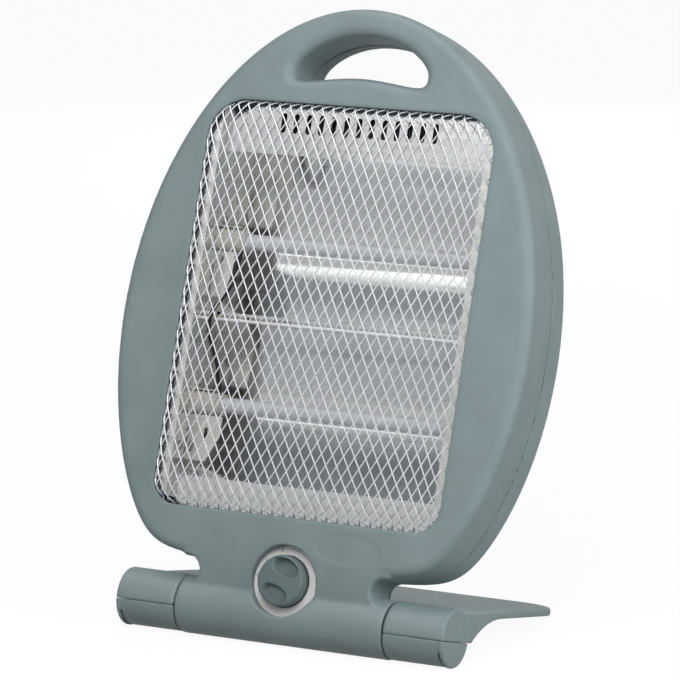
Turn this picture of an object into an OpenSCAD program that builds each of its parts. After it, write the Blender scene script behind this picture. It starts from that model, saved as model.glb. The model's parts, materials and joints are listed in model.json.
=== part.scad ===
// Two-tube halogen heater: a leaning egg-shaped body on a tilt hinge over a stand with a foot plate.
// World frame: X across, -Y to the front, Z up, floor at z = 0, origin under the middle of the object.
// Body frame (inside body_place): the hinge axis is the X axis, -Y is the front face's normal,
// Z runs up the leaning body.

/* [Stand] */
// Diameter of the hinge barrel along the bottom
barrel_d = 37.4; // [34:0.1:42]
// Width over both end barrels and over the foot plate
stand_w = 234.2; // [220:0.5:260]
// Wall of the stand's mouldings
stand_wall = 2.5; // [2:0.1:3.2]
// Reach of the foot plate behind the hinge axis
foot_reach = 164; // [150:1:185]
// Radius of the foot plate's rear corners
foot_corner_r = 34; // [20:1:45]
// Thickness of the foot plate
foot_t = 5; // [4:0.1:6]
// Height of the foot plate's top where it leaves the barrels
foot_root_z = 31.5; // [29:0.5:33]
// Radius of the arch under the foot plate, behind the barrels
arch_r = 68; // [60:1:80]
// Height of the flat ground under the barrels' flanges
flange_flat = 0.3; // [0.2:0.05:0.6]
// Slope of the parting between the barrels and their lower covers
parting_slope = 14.6; // [8:0.2:18]

/* [Tilt hinge] */
// Lean of the body behind the vertical, as photographed
lean = 18; // [5:0.5:25]
// Width of the body's own barrel between the two hinge gaps
body_barrel_w = 147.8; // [140:0.5:156]
// Hinge gap, filled by the friction washer
hinge_gap = 1; // [0.6:0.1:1.6]
// Diameter of the hinge bolt
bolt_d = 8; // [6:0.5:10]
// Running clearance round the hinge bolt
bolt_clear = 0.06; // [0.03:0.01:0.1]

/* [Body shell] */
// Full width of the egg-shaped body
body_w = 291; // [280:1:300]
// Height of the outline's ellipse above and below its middle
body_semi_h = 209; // [200:1:216]
// Height of the outline's middle above the hinge axis
body_mid_z = 180; // [174:1:186]
// Level of the outline's flattened bottom above the hinge axis
body_bottom_z = 27; // [25:0.5:31]
// Softness of the outline's lower corners
corner_soft = 24; // [16:1:32]
// Front face's distance in front of the hinge axis
front_off = 20; // [19:0.1:22]
// Depth of the shell, front face to back
body_depth = 55; // [53:0.5:60]
// Loss of depth at the top of the shell
top_thin = 12; // [6:0.5:16]
// Depth of the parting between the two shell halves, from the front face
parting_depth = 32; // [30:0.5:34]
// Radius of the soft front edge
edge_r = 6; // [4:0.5:8]
// Radius of the back edge
back_r = 8; // [5:0.5:10]
// Wall of the shell
wall = 2.6; // [2:0.1:3]

/* [Handle] */
// Half width of the carry-hole
grip_half_w = 47.5; // [42:0.5:52]
// Half height of the carry-hole in its middle
grip_half_h = 13.7; // [12:0.1:15]
// Height of the carry-hole's middle above the hinge axis
grip_z = 358.2; // [356:0.2:360]
// Drop of the bent carry-hole towards its ends
grip_bend = 6.7; // [4:0.1:9]
// Radius of the flared edge
grip_flare = 7; // [4:0.5:9]

/* [Window and grille] */
// Width of the front window
window_w = 204.4; // [196:0.2:208]
// Lower edge of the window above the hinge axis
window_z0 = 61.3; // [58:0.1:66]
// Upper edge of the window above the hinge axis
window_z1 = 325; // [318:0.5:326]
// Radius of the window's upper corners
window_r_top = 26; // [18:1:34]
// Radius of the window's lower corners
window_r_low = 17; // [12:1:24]
// Gap between window edge and grille
grille_gap = 2; // [1.5:0.1:3]
// Rise of the domed grille above its seat
grille_rise = 13.5; // [10:0.5:16]
// Thickness of the grille's wire
wire_d = 1.5; // [1.2:0.1:2]
// Half diamonds across the grille
grille_nx = 28; // [20:2:28]
// Half diamonds up the grille
grille_nz = 18; // [14:2:18]

/* [Tubes and reflector] */
// Diameter of a quartz tube
tube_d = 10.7; // [9:0.1:12]
// Bore of a quartz tube
tube_bore = 8.3; // [7:0.1:8.6]
// Length of each ceramic cap on the tubes' left ends
cap_len_left = 20.2; // [15:0.1:22]
// Length of each ceramic cap on the tubes' right ends
cap_len_right = 8; // [7:0.1:12]
// Height of the lower tube above the hinge axis
tube_z = 129.4; // [127:0.2:132]
// Distance between the tubes
tube_pitch = 107; // [102:0.5:110]
// Focal length of the parabolic troughs
focal = 20; // [18:0.2:22]
// Depth of a trough
trough_depth = 34.5; // [32:0.5:35]
// Sheet thickness of reflector and end plates
sheet = 0.8; // [0.6:0.1:1]
// Depth of the reflector's front flanges behind the front face
flange_depth = 13; // [12.5:0.1:14]
// Air slots in the upper flange
slot_n = 13; // [9:2:13]
// Distance between air slots
slot_pitch = 9.1; // [8.5:0.1:10]
// Width of an air slot
slot_w = 3.6; // [2.5:0.1:4.5]
// Height of an air slot
slot_h = 13; // [10:0.5:15]
// Diameter of the stay rod behind the grille
stay_d = 2.4; // [2:0.1:3]

/* [Control] */
// Height of the knob's axis above the hinge axis
knob_z = 21; // [20:0.2:22]
// Diameter of the knob's pocket
pocket_d = 45.2; // [42:0.2:47]
// Depth of the pocket's floor behind the hinge axis' front plane
pocket_floor = 11.5; // [11:0.1:12.5]
// Diameter of the knob
knob_d = 32.4; // [30:0.2:36]
// Height of the knob above the pocket's floor
knob_h = 9.6; // [8:0.2:12]
// Width of the grip bar left between the two finger hollows
grip_bar_w = 9; // [7:0.2:11]
// Direction of the grip bar at rest, from +X towards +Z
grip_bar_angle = 160; // [150:1:170]
// Diameter of the switch shaft
shaft_d = 6; // [5:0.5:6]

/* [Hidden] */
$fn = 64;

eps = 0.01;
fit = 0.2;
barrel_r = barrel_d / 2;
axis_z = barrel_r - flange_flat;
half_w = stand_w / 2;
body_half_w = body_w / 2;
front_y = -front_off;
back_y = body_depth - front_off;
part_y = parting_depth - front_off;
hinge_x = body_barrel_w / 2;
stand_x = hinge_x + hinge_gap;
bolt_r = bolt_d / 2;
neck_crease_z = 12.4;
neck_front_low = -sqrt(barrel_r * barrel_r - neck_crease_z * neck_crease_z);
knob_gap = 0.5;
knob_chamfer = 1;
knob_front_y = -pocket_floor - knob_gap - knob_h;
knob_rim_z = knob_z - knob_d / 2 + knob_chamfer;
front_most = min(-barrel_r, knob_front_y * cos(lean) + knob_rim_z * sin(lean));
origin_y = (foot_reach + front_most) / 2;
grille_half_w = window_w / 2 - grille_gap;
grille_half_h = (window_z1 - window_z0) / 2 - grille_gap;
grille_mid_z = (window_z0 + window_z1) / 2;
grille_rim = grille_gap + 1;

// ---------- shared helpers ----------
function spow(v, p) = sign(v) * pow(abs(v), p);
function soft_max(a, b, k) = (a + b + sqrt((a - b) * (a - b) + k * k)) / 2;

// Solid through rings of equal point counts; rings run from front to back, clockwise seen from the front.
module loft(rings) {
    n = len(rings[0]);
    m = len(rings);
    polyhedron(
        points = [for (r = rings) each r],
        faces = [
            [for (i = [0:n - 1]) i],
            [for (i = [0:n - 1]) m * n - 1 - i],
            for (j = [0:m - 2], i = [0:n - 1]) let (k = (i + 1) % n) [j * n + i, (j + 1) * n + i, (j + 1) * n + k],
            for (j = [0:m - 2], i = [0:n - 1]) let (k = (i + 1) % n) [j * n + i, (j + 1) * n + k, j * n + k]
        ]
    );
}

// Puts what is drawn in the body frame into its leaning place in the world frame.
module body_place() {
    translate([0, -origin_y, axis_z]) rotate([-lean, 0, 0]) children();
}

// Puts what is drawn about the hinge axis, but upright, into its place.
module stand_place() {
    translate([0, -origin_y, axis_z]) children();
}

// Cylinder along X between two x values.
module x_rod(x0, x1, r) {
    translate([x0, 0, 0]) rotate([0, 90, 0]) cylinder(r = r, h = x1 - x0);
}

// Cylinder along Y between two y values.
module y_rod(y0, y1, r) {
    translate([0, y0, 0]) rotate([-90, 0, 0]) cylinder(r = r, h = y1 - y0);
}

// Outline drawn as (y, z), extruded along X between two x values.
module x_extrude(x0, x1) {
    translate([x0, 0, 0]) rotate([90, 0, 90]) linear_extrude(height = x1 - x0) children();
}

// Outline drawn as (x, z), extruded along Y between two y values.
module y_extrude(y0, y1) {
    translate([0, y1, 0]) rotate([90, 0, 0]) linear_extrude(height = y1 - y0) children();
}

// Block given by its two opposite corners.
module block(p, q) {
    translate(p) cube([q[0] - p[0], q[1] - p[1], q[2] - p[2]]);
}

// Rectangle with its own radius at the lower and the upper corners.
module soft_rect(w, z0, z1, r_low, r_top) {
    for (s = [-1, 1]) {
        translate([s * (w / 2 - r_low), z0 + r_low]) circle(r = r_low);
        translate([s * (w / 2 - r_top), z1 - r_top]) circle(r = r_top);
    }
    translate([-w / 2, z0 + r_low]) square([w, z1 - z0 - r_low - r_top]);
    translate([-w / 2 + r_low, z0]) square([w - 2 * r_low, r_low + eps]);
    translate([-w / 2 + r_top, z1 - r_top - eps]) square([w - 2 * r_top, r_top + eps]);
}

// ---------- body outline and shell ----------
outline_n = 64;

// Point of the egg outline at one step, drawn in by an inset.
function outline(i, inset) =
    let (a = 360 * i / outline_n)
    [(body_half_w - inset) * sin(a),
     soft_max(body_mid_z + (body_semi_h - inset) * cos(a), body_bottom_z + inset, corner_soft)];

// Depth of the back face: full over the tubes, thinner towards the handle.
thin_z = body_mid_z + 70;
function back_face(z, inset) =
    back_y - inset - top_thin * pow(max(0, (z - thin_z) / (body_mid_z + body_semi_h - thin_z)), 1.5);

function flat_ring(inset, y) = [for (i = [0:outline_n - 1]) let (p = outline(i, inset)) [p[0], y, p[1]]];
function back_ring(inset, lift, in) =
    [for (i = [0:outline_n - 1]) let (p = outline(i, inset)) [p[0], back_face(p[1], in) - lift, p[1]]];

edge_steps = 3;
// Rings over the soft front edge, drawn in by the wall for the hollow.
function front_rings(in) =
    [for (k = [0:edge_steps]) let (a = 90 * k / edge_steps)
        flat_ring(in + (edge_r - in) * (1 - sin(a)), front_y + in + (edge_r - in) * (1 - cos(a)))];
function back_rings(in) = concat(
    [for (k = [0:edge_steps]) let (a = 90 * k / edge_steps, r = back_r - in)
        back_ring(in + r * (1 - cos(a)), r * (1 - sin(a)), in)],
    [for (d = [40, 90, body_half_w - 5]) back_ring(d, 0, in)]);

module front_solid(in, y1) {
    loft(concat(front_rings(in), [flat_ring(in, y1)]));
}

module back_solid(in, y0) {
    loft(concat([flat_ring(in, y0)], back_rings(in)));
}

// ---------- carry-hole ----------
grip_n = 40;
grip_power = 0.8;
function grip_ring(off, y) = [for (i = [0:grip_n - 1])
    let (a = 360 * i / grip_n, x = (grip_half_w + off) * spow(sin(a), grip_power))
    [x, y, grip_z - grip_bend * pow(x / 36, 2) + (grip_half_h + off) * spow(cos(a), grip_power)]];

// Front half of the carry-hole, widened by off; its edge flares out to the front face.
module grip_front(off, y1, over) {
    loft(concat(
        [grip_ring(off + grip_flare, front_y - over)],
        [for (k = [0:3]) let (a = 30 * k)
            grip_ring(off + grip_flare * (1 - sin(a)), front_y + grip_flare * (1 - cos(a)))],
        [grip_ring(off, y1)]));
}

back_flare = 4;
// Ring that follows the back face at a depth under it.
function grip_back_ring(off, lift) =
    [for (p = grip_ring(off, 0)) [p[0], back_face(p[2], 0) - lift, p[2]]];
// Back half of the carry-hole, widened by off, with a soft edge to the back face.
module grip_back(off, y0) {
    loft(concat(
        [grip_ring(off, y0)],
        [for (k = [0:2]) let (a = 45 * k)
            grip_back_ring(off + back_flare * (1 - cos(a)), back_flare * (1 - sin(a)))],
        [grip_ring(off + back_flare, back_y + 2)]));
}

// ---------- neck ----------
neck_top_z = 47;
neck_back_y = 15;
neck_notch_r = 8;

module neck_profile(in) {
    polygon([
        [neck_front_low + in, neck_crease_z - in * 3],
        [front_y + in, neck_top_z],
        [neck_back_y - in, neck_top_z],
        [neck_back_y - in, 0],
        [neck_front_low + in, 0]
    ]);
}

// Round notches between the shell's bottom and the barrel's ends.
module neck_notches() {
    notch_z = body_bottom_z + 0.6 - neck_notch_r;
    for (s = [-1, 1]) {
        y_extrude(front_y - 5, back_y) union() {
            translate([s * (hinge_x - 3), notch_z]) circle(r = neck_notch_r);
            translate([s * (hinge_x - 3) + (s > 0 ? 0 : -20), notch_z - neck_notch_r]) square([20, 2 * neck_notch_r]);
        }
    }
}

module neck_solid(y0, y1) {
    intersection() {
        union() {
            difference() {
                x_extrude(-hinge_x, hinge_x) neck_profile(0);
                neck_notches();
            }
            x_rod(-hinge_x, hinge_x, barrel_r);
        }
        block([-hinge_x - 1, y0, -barrel_r - 1], [hinge_x + 1, y1, neck_top_z + 1]);
    }
}

hinge_web = 3;
module neck_hollow() {
    x_rod(-hinge_x + hinge_web, hinge_x - hinge_web, barrel_r - wall);
    x_extrude(-hinge_x + 14, hinge_x - 14) intersection() {
        neck_profile(wall);
        translate([-30, 0]) square([60, 60]);
    }
}

// ---------- front casing ----------
boss_r = 4.5;
boss_x = grille_half_w + grille_rim + boss_r + 0.5;
plate_y = front_y + wall + 3.4;
boss_z = [window_z0 + 45, window_z1 - 72];
screw_r = 1.25;
boss_fn = 24;
screw_bore_r = screw_r + 0.05;
head_r = 2.9;
head_h = 2.2;
back_boss_r = 5.2;

// Post along Y with a blind bore that ends at bore_y0.
module case_boss(x, z, y0, y1, r, bore, bore_y0) {
    translate([x, 0, z]) difference() {
        y_rod(y0, y1, r, $fn = boss_fn);
        y_rod(bore_y0, y1 + 1, bore, $fn = boss_fn);
    }
}

function outline_half(z) = body_half_w * sqrt(1 - pow((z - body_mid_z) / body_semi_h, 2));
// Case screws stand midway between what the outline encloses and the shell's wall at their height.
function screw_between(inner, z) = [(inner + outline_half(z) - wall) / 2, z];
case_screw_side = [
    screw_between(grille_half_w + grille_rim, window_z0 + 30.7),
    screw_between(grille_half_w + grille_rim, window_z1 - 90),
    screw_between(grip_half_w + grip_flare, window_z1 + 13)
];
case_screw_at = [for (p = case_screw_side, s = [-1, 1]) [s * p[0], p[1]]];

module front_casing() {
    color([0.47, 0.52, 0.535]) body_place() {
        difference() {
            union() {
                difference() {
                    front_solid(0, part_y);
                    front_solid(wall, part_y + 1);
                }
                neck_solid(-30, part_y);
                intersection() {
                    grip_front(wall, part_y, -0.4);
                    front_solid(0.3, part_y);
                }
                for (s = [-1, 1]) {
                    for (z = boss_z)
                        case_boss(s * boss_x, z, front_y + wall / 2, plate_y, boss_r, screw_bore_r, plate_y - 4);
                }
                for (p = case_screw_at)
                    case_boss(p[0], p[1], front_y + wall / 2, part_y, 4, screw_bore_r, part_y - 12);
            }
            neck_hollow();
            grip_front(0, part_y + 1, 1);
            y_extrude(front_y - 1, front_y + wall + 1)
                soft_rect(window_w, window_z0, window_z1, window_r_low, window_r_top);
            translate([0, 0, knob_z]) y_rod(-40, -pocket_floor, pocket_d / 2);
            translate([0, 0, knob_z]) y_rod(-40, 0, shaft_d / 2 + 1);
            x_rod(-hinge_x - 1, hinge_x + 1, bolt_r + bolt_clear);
        }
        pocket_wall();
    }
}

// Cup behind the knob's pocket, closed but for the shaft's hole.
module pocket_wall() {
    translate([0, 0, knob_z]) intersection() {
        difference() {
            y_rod(front_y, -pocket_floor + wall, pocket_d / 2 + 2);
            y_rod(-40, -pocket_floor, pocket_d / 2);
            y_rod(-40, 0, shaft_d / 2 + 1);
        }
        translate([0, 0, -knob_z]) x_extrude(-40, 40) union() {
            circle(r = barrel_r - 0.5);
            neck_profile(0.5);
        }
    }
}

// ---------- back cover ----------
louvre_x = 38;
louvre_w = 58;
louvre_h = 3.6;
louvre_pitch = 9;
louvre_n = 7;
panel_w = 2 * louvre_x + louvre_w + 16;
panel_h = louvre_n * louvre_pitch + 8;
panel_rim = 4;
inlet_x = -20;
inlet_z = 50;
inlet_r = 5.2;

module back_cover() {
    color([0.45, 0.5, 0.515]) body_place() {
        difference() {
            union() {
                difference() {
                    back_solid(0, part_y);
                    back_solid(wall, part_y - 1);
                }
                neck_solid(part_y, 40);
                intersection() {
                    grip_back(wall, part_y);
                    back_solid(0.3, part_y);
                }
                for (p = case_screw_at)
                    intersection() {
                        case_boss(p[0], p[1], part_y, back_y, back_boss_r, screw_r + 0.4, part_y - 1);
                        back_solid(0.3, part_y);
                    }
            }
            neck_hollow();
            grip_back(0, part_y - 1);
            for (z = [tube_z, tube_z + tube_pitch])
                block([-panel_w / 2 + panel_rim, back_y - 20, z - panel_h / 2 + panel_rim],
                    [panel_w / 2 - panel_rim, back_y + 5, z + panel_h / 2 - panel_rim]);
            translate([inlet_x, 0, inlet_z]) y_rod(back_y - 10, back_y + 5, inlet_r);
            for (p = case_screw_at) translate([p[0], 0, p[1]]) 
                y_rod(part_y + 4, back_y + 5, head_r + 0.4, $fn = boss_fn);
        }
        for (z = [tube_z, tube_z + tube_pitch]) translate([0, 0, z]) louvre_panel();
    }
}

// Flat field of two rows of louvre slots behind each tube.
module louvre_panel() {
    difference() {
        block([-panel_w / 2, back_y - wall, -panel_h / 2], [panel_w / 2, back_y + 0.4, panel_h / 2]);
        for (s = [-1, 1], k = [0:louvre_n - 1])
            translate([
                s * louvre_x - louvre_w / 2,
                back_y - 20,
                (k - (louvre_n - 1) / 2) * louvre_pitch - louvre_h / 2
            ]) cube([louvre_w, 30, louvre_h]);
    }
}

module case_screws() {
    color([0.35, 0.36, 0.37]) body_place() for (p = case_screw_at) translate([p[0], 0, p[1]]) {
        y_rod(part_y + 4, part_y + 4 + head_h, head_r);
        y_rod(part_y - 10, part_y + 4, screw_r);
    }
}

// ---------- grille ----------
seat_y = front_y + wall + 0.2;
corner_pull = 0.055;
// Share of the half size beyond which the net lies flat on its seat.
net_edge = 0.998;

// Spacing of the wires: even over the dome, closer on its turned-back edge.
function wire_at(t) = (t - 0.06 * pow(t, 7)) / 0.94;
// Height of the dome over its seat as a share of the rise.
function crown(t) = pow(max(0, 1 - pow(min(1, abs(t) / net_edge), 3)), 1 / 2.4);
function dome(s) = seat_y - grille_rise * crown(s[0]) * crown(s[1]);
function dome_normal(s) =
    let (h = 0.01,
         dx = (dome([s[0] + h, s[1]]) - dome([s[0] - h, s[1]])) / (2 * h * grille_half_w),
         dz = (dome([s[0], s[1] + h]) - dome([s[0], s[1] - h])) / (2 * h * grille_half_h),
         l = sqrt(1 + dx * dx + dz * dz))
    [-dx / l, 1 / l, -dz / l];

// Lattice points (i, k) count half diamonds; wires cross where i + k is even, a gap lies where it is odd.
half_cell_w = 2 * grille_half_w / grille_nx;
half_cell_h = 2 * grille_half_h / grille_nz;
gap_half = half_cell_w * half_cell_h / sqrt(pow(half_cell_w, 2) + pow(half_cell_h, 2));
wire_share = wire_d / 2 / gap_half;
function lattice(i, k) = [wire_at(2 * i / grille_nx - 1), wire_at(2 * k / grille_nz - 1)];
function on_net(i, k) = i >= 0 && i <= grille_nx && k >= 0 && k <= grille_nz;
function inward(n, last) = n == 0 ? 0.3 : n == last ? -0.3 : 0;
dirs = [[1, 0], [0, 1], [-1, 0], [0, -1]];

// Corner of gap (i, k) beside the wires' crossing in direction d.
function gap_corner(i, k, d) =
    let (p = lattice(i + dirs[d][0], k + dirs[d][1]),
         q = lattice(i + inward(i, grille_nx), k + inward(k, grille_nz)))
    p + (q - p) * wire_share;
function rim_point(b) = let (s = lattice(b[0], b[1]))
    [s[0] * (1 + (b[0] % grille_nx == 0 ? grille_rim / grille_half_w : 0)),
     s[1] * (1 + (b[1] % grille_nz == 0 ? grille_rim / grille_half_h : 0))];

// Border crossings, clockwise from the lower left corner as seen from the front.
border = concat(
    [for (k = [0:2:grille_nz - 2]) [0, k]], [for (i = [0:2:grille_nx - 2]) [i, grille_nz]],
    [for (k = [grille_nz:-2:2]) [grille_nx, k]], [for (i = [grille_nx:-2:2]) [i, 0]]);
border_n = len(border);
function border_index(i, k) =
    i == 0 && k < grille_nz ? k / 2
    : k == grille_nz && i < grille_nx ? (grille_nz + i) / 2
    : i == grille_nx && k > 0 ? (grille_nz + grille_nx + grille_nz - k) / 2
    : (2 * grille_nz + grille_nx + grille_nx - i) / 2;

corner_slots = (grille_nx + 1) * (grille_nz + 1) * 4;
sheet_points = corner_slots + border_n;
function corner_id(i, k, d) = (i * (grille_nz + 1) + k) * 4 + d;
function rim_id(i, k) = corner_slots + border_index(i, k);
net_shares = concat(
    [for (i = [0:grille_nx], k = [0:grille_nz], d = [0:3])
        (i + k) % 2 == 1 && on_net(i + dirs[d][0], k + dirs[d][1]) ? gap_corner(i, k, d) : lattice(i, k)],
    [for (b = border) rim_point(b)]);
// The tray's corners are drawn in, to follow the window's round corners.
function net_front(s) =
    let (pull = 1 - corner_pull * pow(abs(s[0]), 10) * pow(abs(s[1]), 10))
    [s[0] * pull * grille_half_w, dome(s), grille_mid_z + s[1] * pull * grille_half_h];

// Polygons of the front sheet, clockwise as seen from the front.
function crossing_face(i, k) =
    let (around = [for (d = [1, 0, 3, 2]) let (a = i + dirs[d][0], b = k + dirs[d][1])
            on_net(a, b) ? corner_id(a, b, (d + 2) % 4) : rim_id(i, k)])
    [for (j = [0:3]) if (around[j] != around[(j + 1) % 4]) around[j]];
crossings = [for (i = [0:grille_nx], k = [0:grille_nz]) if ((i + k) % 2 == 0) [i, k]];
gaps = [for (i = [0:grille_nx], k = [0:grille_nz]) if ((i + k) % 2 == 1) [i, k]];
rising_faces = [for (c = crossings) let (i = c[0], k = c[1]) if (on_net(i + 1, k + 1))
    [corner_id(i, k + 1, 3), corner_id(i, k + 1, 0), corner_id(i + 1, k, 1), corner_id(i + 1, k, 2)]];
falling_faces = [for (c = crossings) let (i = c[0], k = c[1]) if (on_net(i + 1, k - 1))
    [corner_id(i + 1, k, 2), corner_id(i + 1, k, 3), corner_id(i, k - 1, 0), corner_id(i, k - 1, 1)]];
// A border gap's missing side, as the direction before and after it, going round the gap.
function rim_side(i, k) = i == 0 ? 2 : k == grille_nz ? 1 : i == grille_nx ? 0 : 3;
rim_faces = [for (g = gaps) let (i = g[0], k = g[1])
    if (i == 0 || k == 0 || i == grille_nx || k == grille_nz)
        let (d = rim_side(i, k), a = (d + 1) % 4, b = (d + 3) % 4)
        [rim_id(i + dirs[a][0], k + dirs[a][1]), rim_id(i + dirs[b][0], k + dirs[b][1]),
         corner_id(i, k, b), corner_id(i, k, a)]];
front_faces = concat([for (c = crossings) crossing_face(c[0], c[1])], rising_faces, falling_faces, rim_faces);
// Edges of the openings and of the rim, as the front sheet runs along them.
gap_edges = [for (g = gaps)
    let (i = g[0], k = g[1], ds = [for (d = [0:3]) if (on_net(i + dirs[d][0], k + dirs[d][1])) d])
    for (j = [0:len(ds) - 1]) [corner_id(i, k, ds[j]), corner_id(i, k, ds[(j + 1) % len(ds)])]];
rim_edges = [for (j = [0:border_n - 1]) [corner_slots + j, corner_slots + (j + 1) % border_n]];
function fan(face) = [for (j = [1:len(face) - 2]) [face[0], face[j], face[j + 1]]];
function flip_fan(face) = [for (t = fan(face)) [t[0] + sheet_points, t[2] + sheet_points, t[1] + sheet_points]];

module grille_mesh() {
    color([0.8, 0.81, 0.82]) body_place() polyhedron(
        points = concat(
            [for (s = net_shares) net_front(s)],
            [for (s = net_shares) net_front(s) + wire_d * dome_normal(s)]),
        faces = concat(
            [for (f = front_faces) each flip_fan(f)],
            [for (e = concat(gap_edges, rim_edges)) [e[1], e[0], e[0] + sheet_points]],
            [for (e = concat(gap_edges, rim_edges)) [e[1], e[0] + sheet_points, e[1] + sheet_points]],
            [for (f = front_faces) each fan(f)]));
}

// ---------- reflector, end plates and tubes ----------
flange_y = front_y + flange_depth;
vertex_y = flange_y + trough_depth;
tube_y = vertex_y - focal;
tube_zs = [tube_z, tube_z + tube_pitch];
trough_half = sqrt(4 * focal * trough_depth);
trough_n = 20;
end_x = window_w / 2 - 7.2;
plate_tab_h = 14;
trough_rise = 4;
plate_rim_x = grille_half_w + grille_rim;
ridge_z = tube_z + tube_pitch / 2;
plate_z0 = window_z0 + 5;
plate_z1 = window_z1 - 3;
plate_corner = [7, 10];
slot_z = window_z1 - 11.4;
function trough(z, off) = [for (j = [0:trough_n])
    let (t = trough_half * (2 * j / trough_n - 1), g = t / (2 * focal), l = sqrt(1 + g * g))
    [vertex_y - t * t / (4 * focal) + off / l, z + t + off * g / l]];
function reversed(list) = [for (j = [len(list) - 1:-1:0]) list[j]];

module reflector() {
    bottom = window_z0 - 3;
    top = window_z1 + 6;
    mids = [for (z = tube_zs) z + trough_rise];
    color([0.86, 0.87, 0.88]) body_place() difference() {
        x_extrude(-end_x + 0.1, end_x - 0.1) polygon(concat(
            [[flange_y, bottom]], trough(mids[0], 0), trough(mids[1], 0), [[flange_y, top]],
            [[flange_y + sheet, top]], reversed(trough(mids[1], sheet)),
            [[flange_y + sheet, ridge_z + trough_rise]],
            reversed(trough(mids[0], sheet)), [[flange_y + sheet, bottom]]));
        for (k = [0:slot_n - 1])
            translate([(k - (slot_n - 1) / 2) * slot_pitch - slot_w / 2, flange_y - 1, slot_z - slot_h / 2])
                cube([slot_w, sheet + 2, slot_h]);
    }
}

module stay_rod() {
    color([0.7, 0.71, 0.72]) body_place()
        translate([0, flange_y - stay_d / 2 - fit, ridge_z]) x_rod(-end_x - 3, end_x + 3, stay_d / 2);
}

flange_x = boss_x + boss_r;
bracket_base_h = 34;
bracket_screw_z = 13;

module end_plate(s) {
    color([0.74, 0.75, 0.74]) body_place() mirror([s < 0 ? 1 : 0, 0, 0]) difference() {
        union() {
            x_extrude(end_x, end_x + sheet) polygon([
                [plate_y, plate_z0], [plate_y, plate_z1], [flange_y, plate_z1],
                [vertex_y + sheet, tube_zs[1] + 22], [vertex_y + sheet, tube_zs[0] - 22], [flange_y, plate_z0]
            ]);
            y_extrude(plate_y, plate_y + sheet) polygon([
                [end_x, plate_z0], [plate_rim_x, plate_z0], [plate_rim_x, plate_z1 - plate_corner[1]],
                [plate_rim_x - plate_corner[0], plate_z1], [end_x, plate_z1]
            ]);
            for (z = boss_z)
                block([end_x, plate_y, z - plate_tab_h / 2], [flange_x, plate_y + sheet, z + plate_tab_h / 2]);
        }
        for (z = boss_z) translate([boss_x, 0, z]) y_rod(plate_y - 1, plate_y + 2, screw_r + 0.1);
        translate([0, flange_y - stay_d / 2 - fit, ridge_z]) x_rod(end_x - 1, end_x + 2, stay_d / 2 + 0.05);
        for (z = tube_zs) {
            translate([0, tube_y, z]) x_rod(end_x - 1, end_x + 2, 3);
            translate([0, tube_y, z + bracket_screw_z]) x_rod(end_x - 1, end_x + 2, screw_r + 0.1);
        }
    }
}

module plate_screws() {
    color([0.6, 0.6, 0.58]) body_place() for (s = [-1, 1], z = boss_z) translate([s * boss_x, 0, z]) {
        y_rod(plate_y + sheet, plate_y + sheet + head_h, head_r);
        y_rod(plate_y - 3, plate_y + sheet, screw_r);
    }
}

cap_r = 8;
cap_x1 = end_x - sheet;
function cap_x0(s) = cap_x1 - (s < 0 ? cap_len_left : cap_len_right);
tube_seat = 6;

module quartz_tube(z) {
    color([0.93, 0.93, 0.9]) body_place() translate([0, tube_y, z]) difference() {
        x_rod(-cap_x0(-1) - tube_seat, cap_x0(1) + tube_seat, tube_d / 2);
        x_rod(-cap_x0(-1) - tube_seat - 1, cap_x0(1) + tube_seat + 1, tube_bore / 2);
    }
}

filament_r = 1.6;
lead_r = 0.6;
lead_in = 3;
module filament(z) {
    color([0.5, 0.48, 0.46]) body_place() translate([0, tube_y, z]) {
        x_rod(-cap_x0(-1) + lead_in, cap_x0(1) - lead_in, filament_r);
        for (s = [-1, 1]) mirror([s < 0 ? 1 : 0, 0, 0]) {
            x_rod(cap_x0(s) - lead_in, cap_x1 + lead_in, lead_r);
            x_rod(cap_x0(s) + tube_seat - 2, cap_x0(s) + tube_seat - 1, tube_bore / 2);
        }
    }
}

module end_caps(s) {
    color([0.88, 0.85, 0.75]) body_place() mirror([s < 0 ? 1 : 0, 0, 0])
        for (z = tube_zs) translate([0, tube_y, z]) difference() {
            union() {
                x_rod(cap_x0(s), cap_x1, cap_r - 1);
                x_rod(cap_x0(s) + 3, cap_x1, cap_r);
            }
            x_rod(cap_x0(s) - 1, cap_x0(s) + tube_seat, tube_d / 2 + 0.05);
            x_rod(cap_x0(s) - 1, cap_x1 + 1, lead_r + 0.05);
        }
}

bracket_w = 15;
module tube_brackets(s) {
    color([0.76, 0.75, 0.68]) body_place() mirror([s < 0 ? 1 : 0, 0, 0])
        for (z = tube_zs) translate([0, tube_y, z]) difference() {
            union() {
                block([cap_x1, -bracket_w / 2, -bracket_base_h / 2], [end_x, bracket_w / 2, bracket_base_h / 2]);
                for (up = [-1, 1])
                    block([cap_x0(s) + 5, -bracket_w / 2 + 2, up * (cap_r + sheet / 2) - sheet / 2],
                        [end_x, bracket_w / 2 - 2, up * (cap_r + sheet / 2) + sheet / 2]);
            }
            x_rod(cap_x1 - 1, end_x + 1, 3);
            for (up = [-1, 1]) translate([0, 0, up * bracket_screw_z]) x_rod(cap_x1 - 1, end_x + 1, screw_r + 0.1);
        }
}

module bracket_screws() {
    color([0.6, 0.6, 0.58]) body_place() for (s = [-1, 1], z = tube_zs)
        mirror([s < 0 ? 1 : 0, 0, 0]) translate([0, tube_y, z + bracket_screw_z]) {
            x_rod(cap_x1 - 1.6, cap_x1, head_r - 0.4);
            x_rod(cap_x1, end_x + sheet + 3, screw_r);
        }
}

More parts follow.
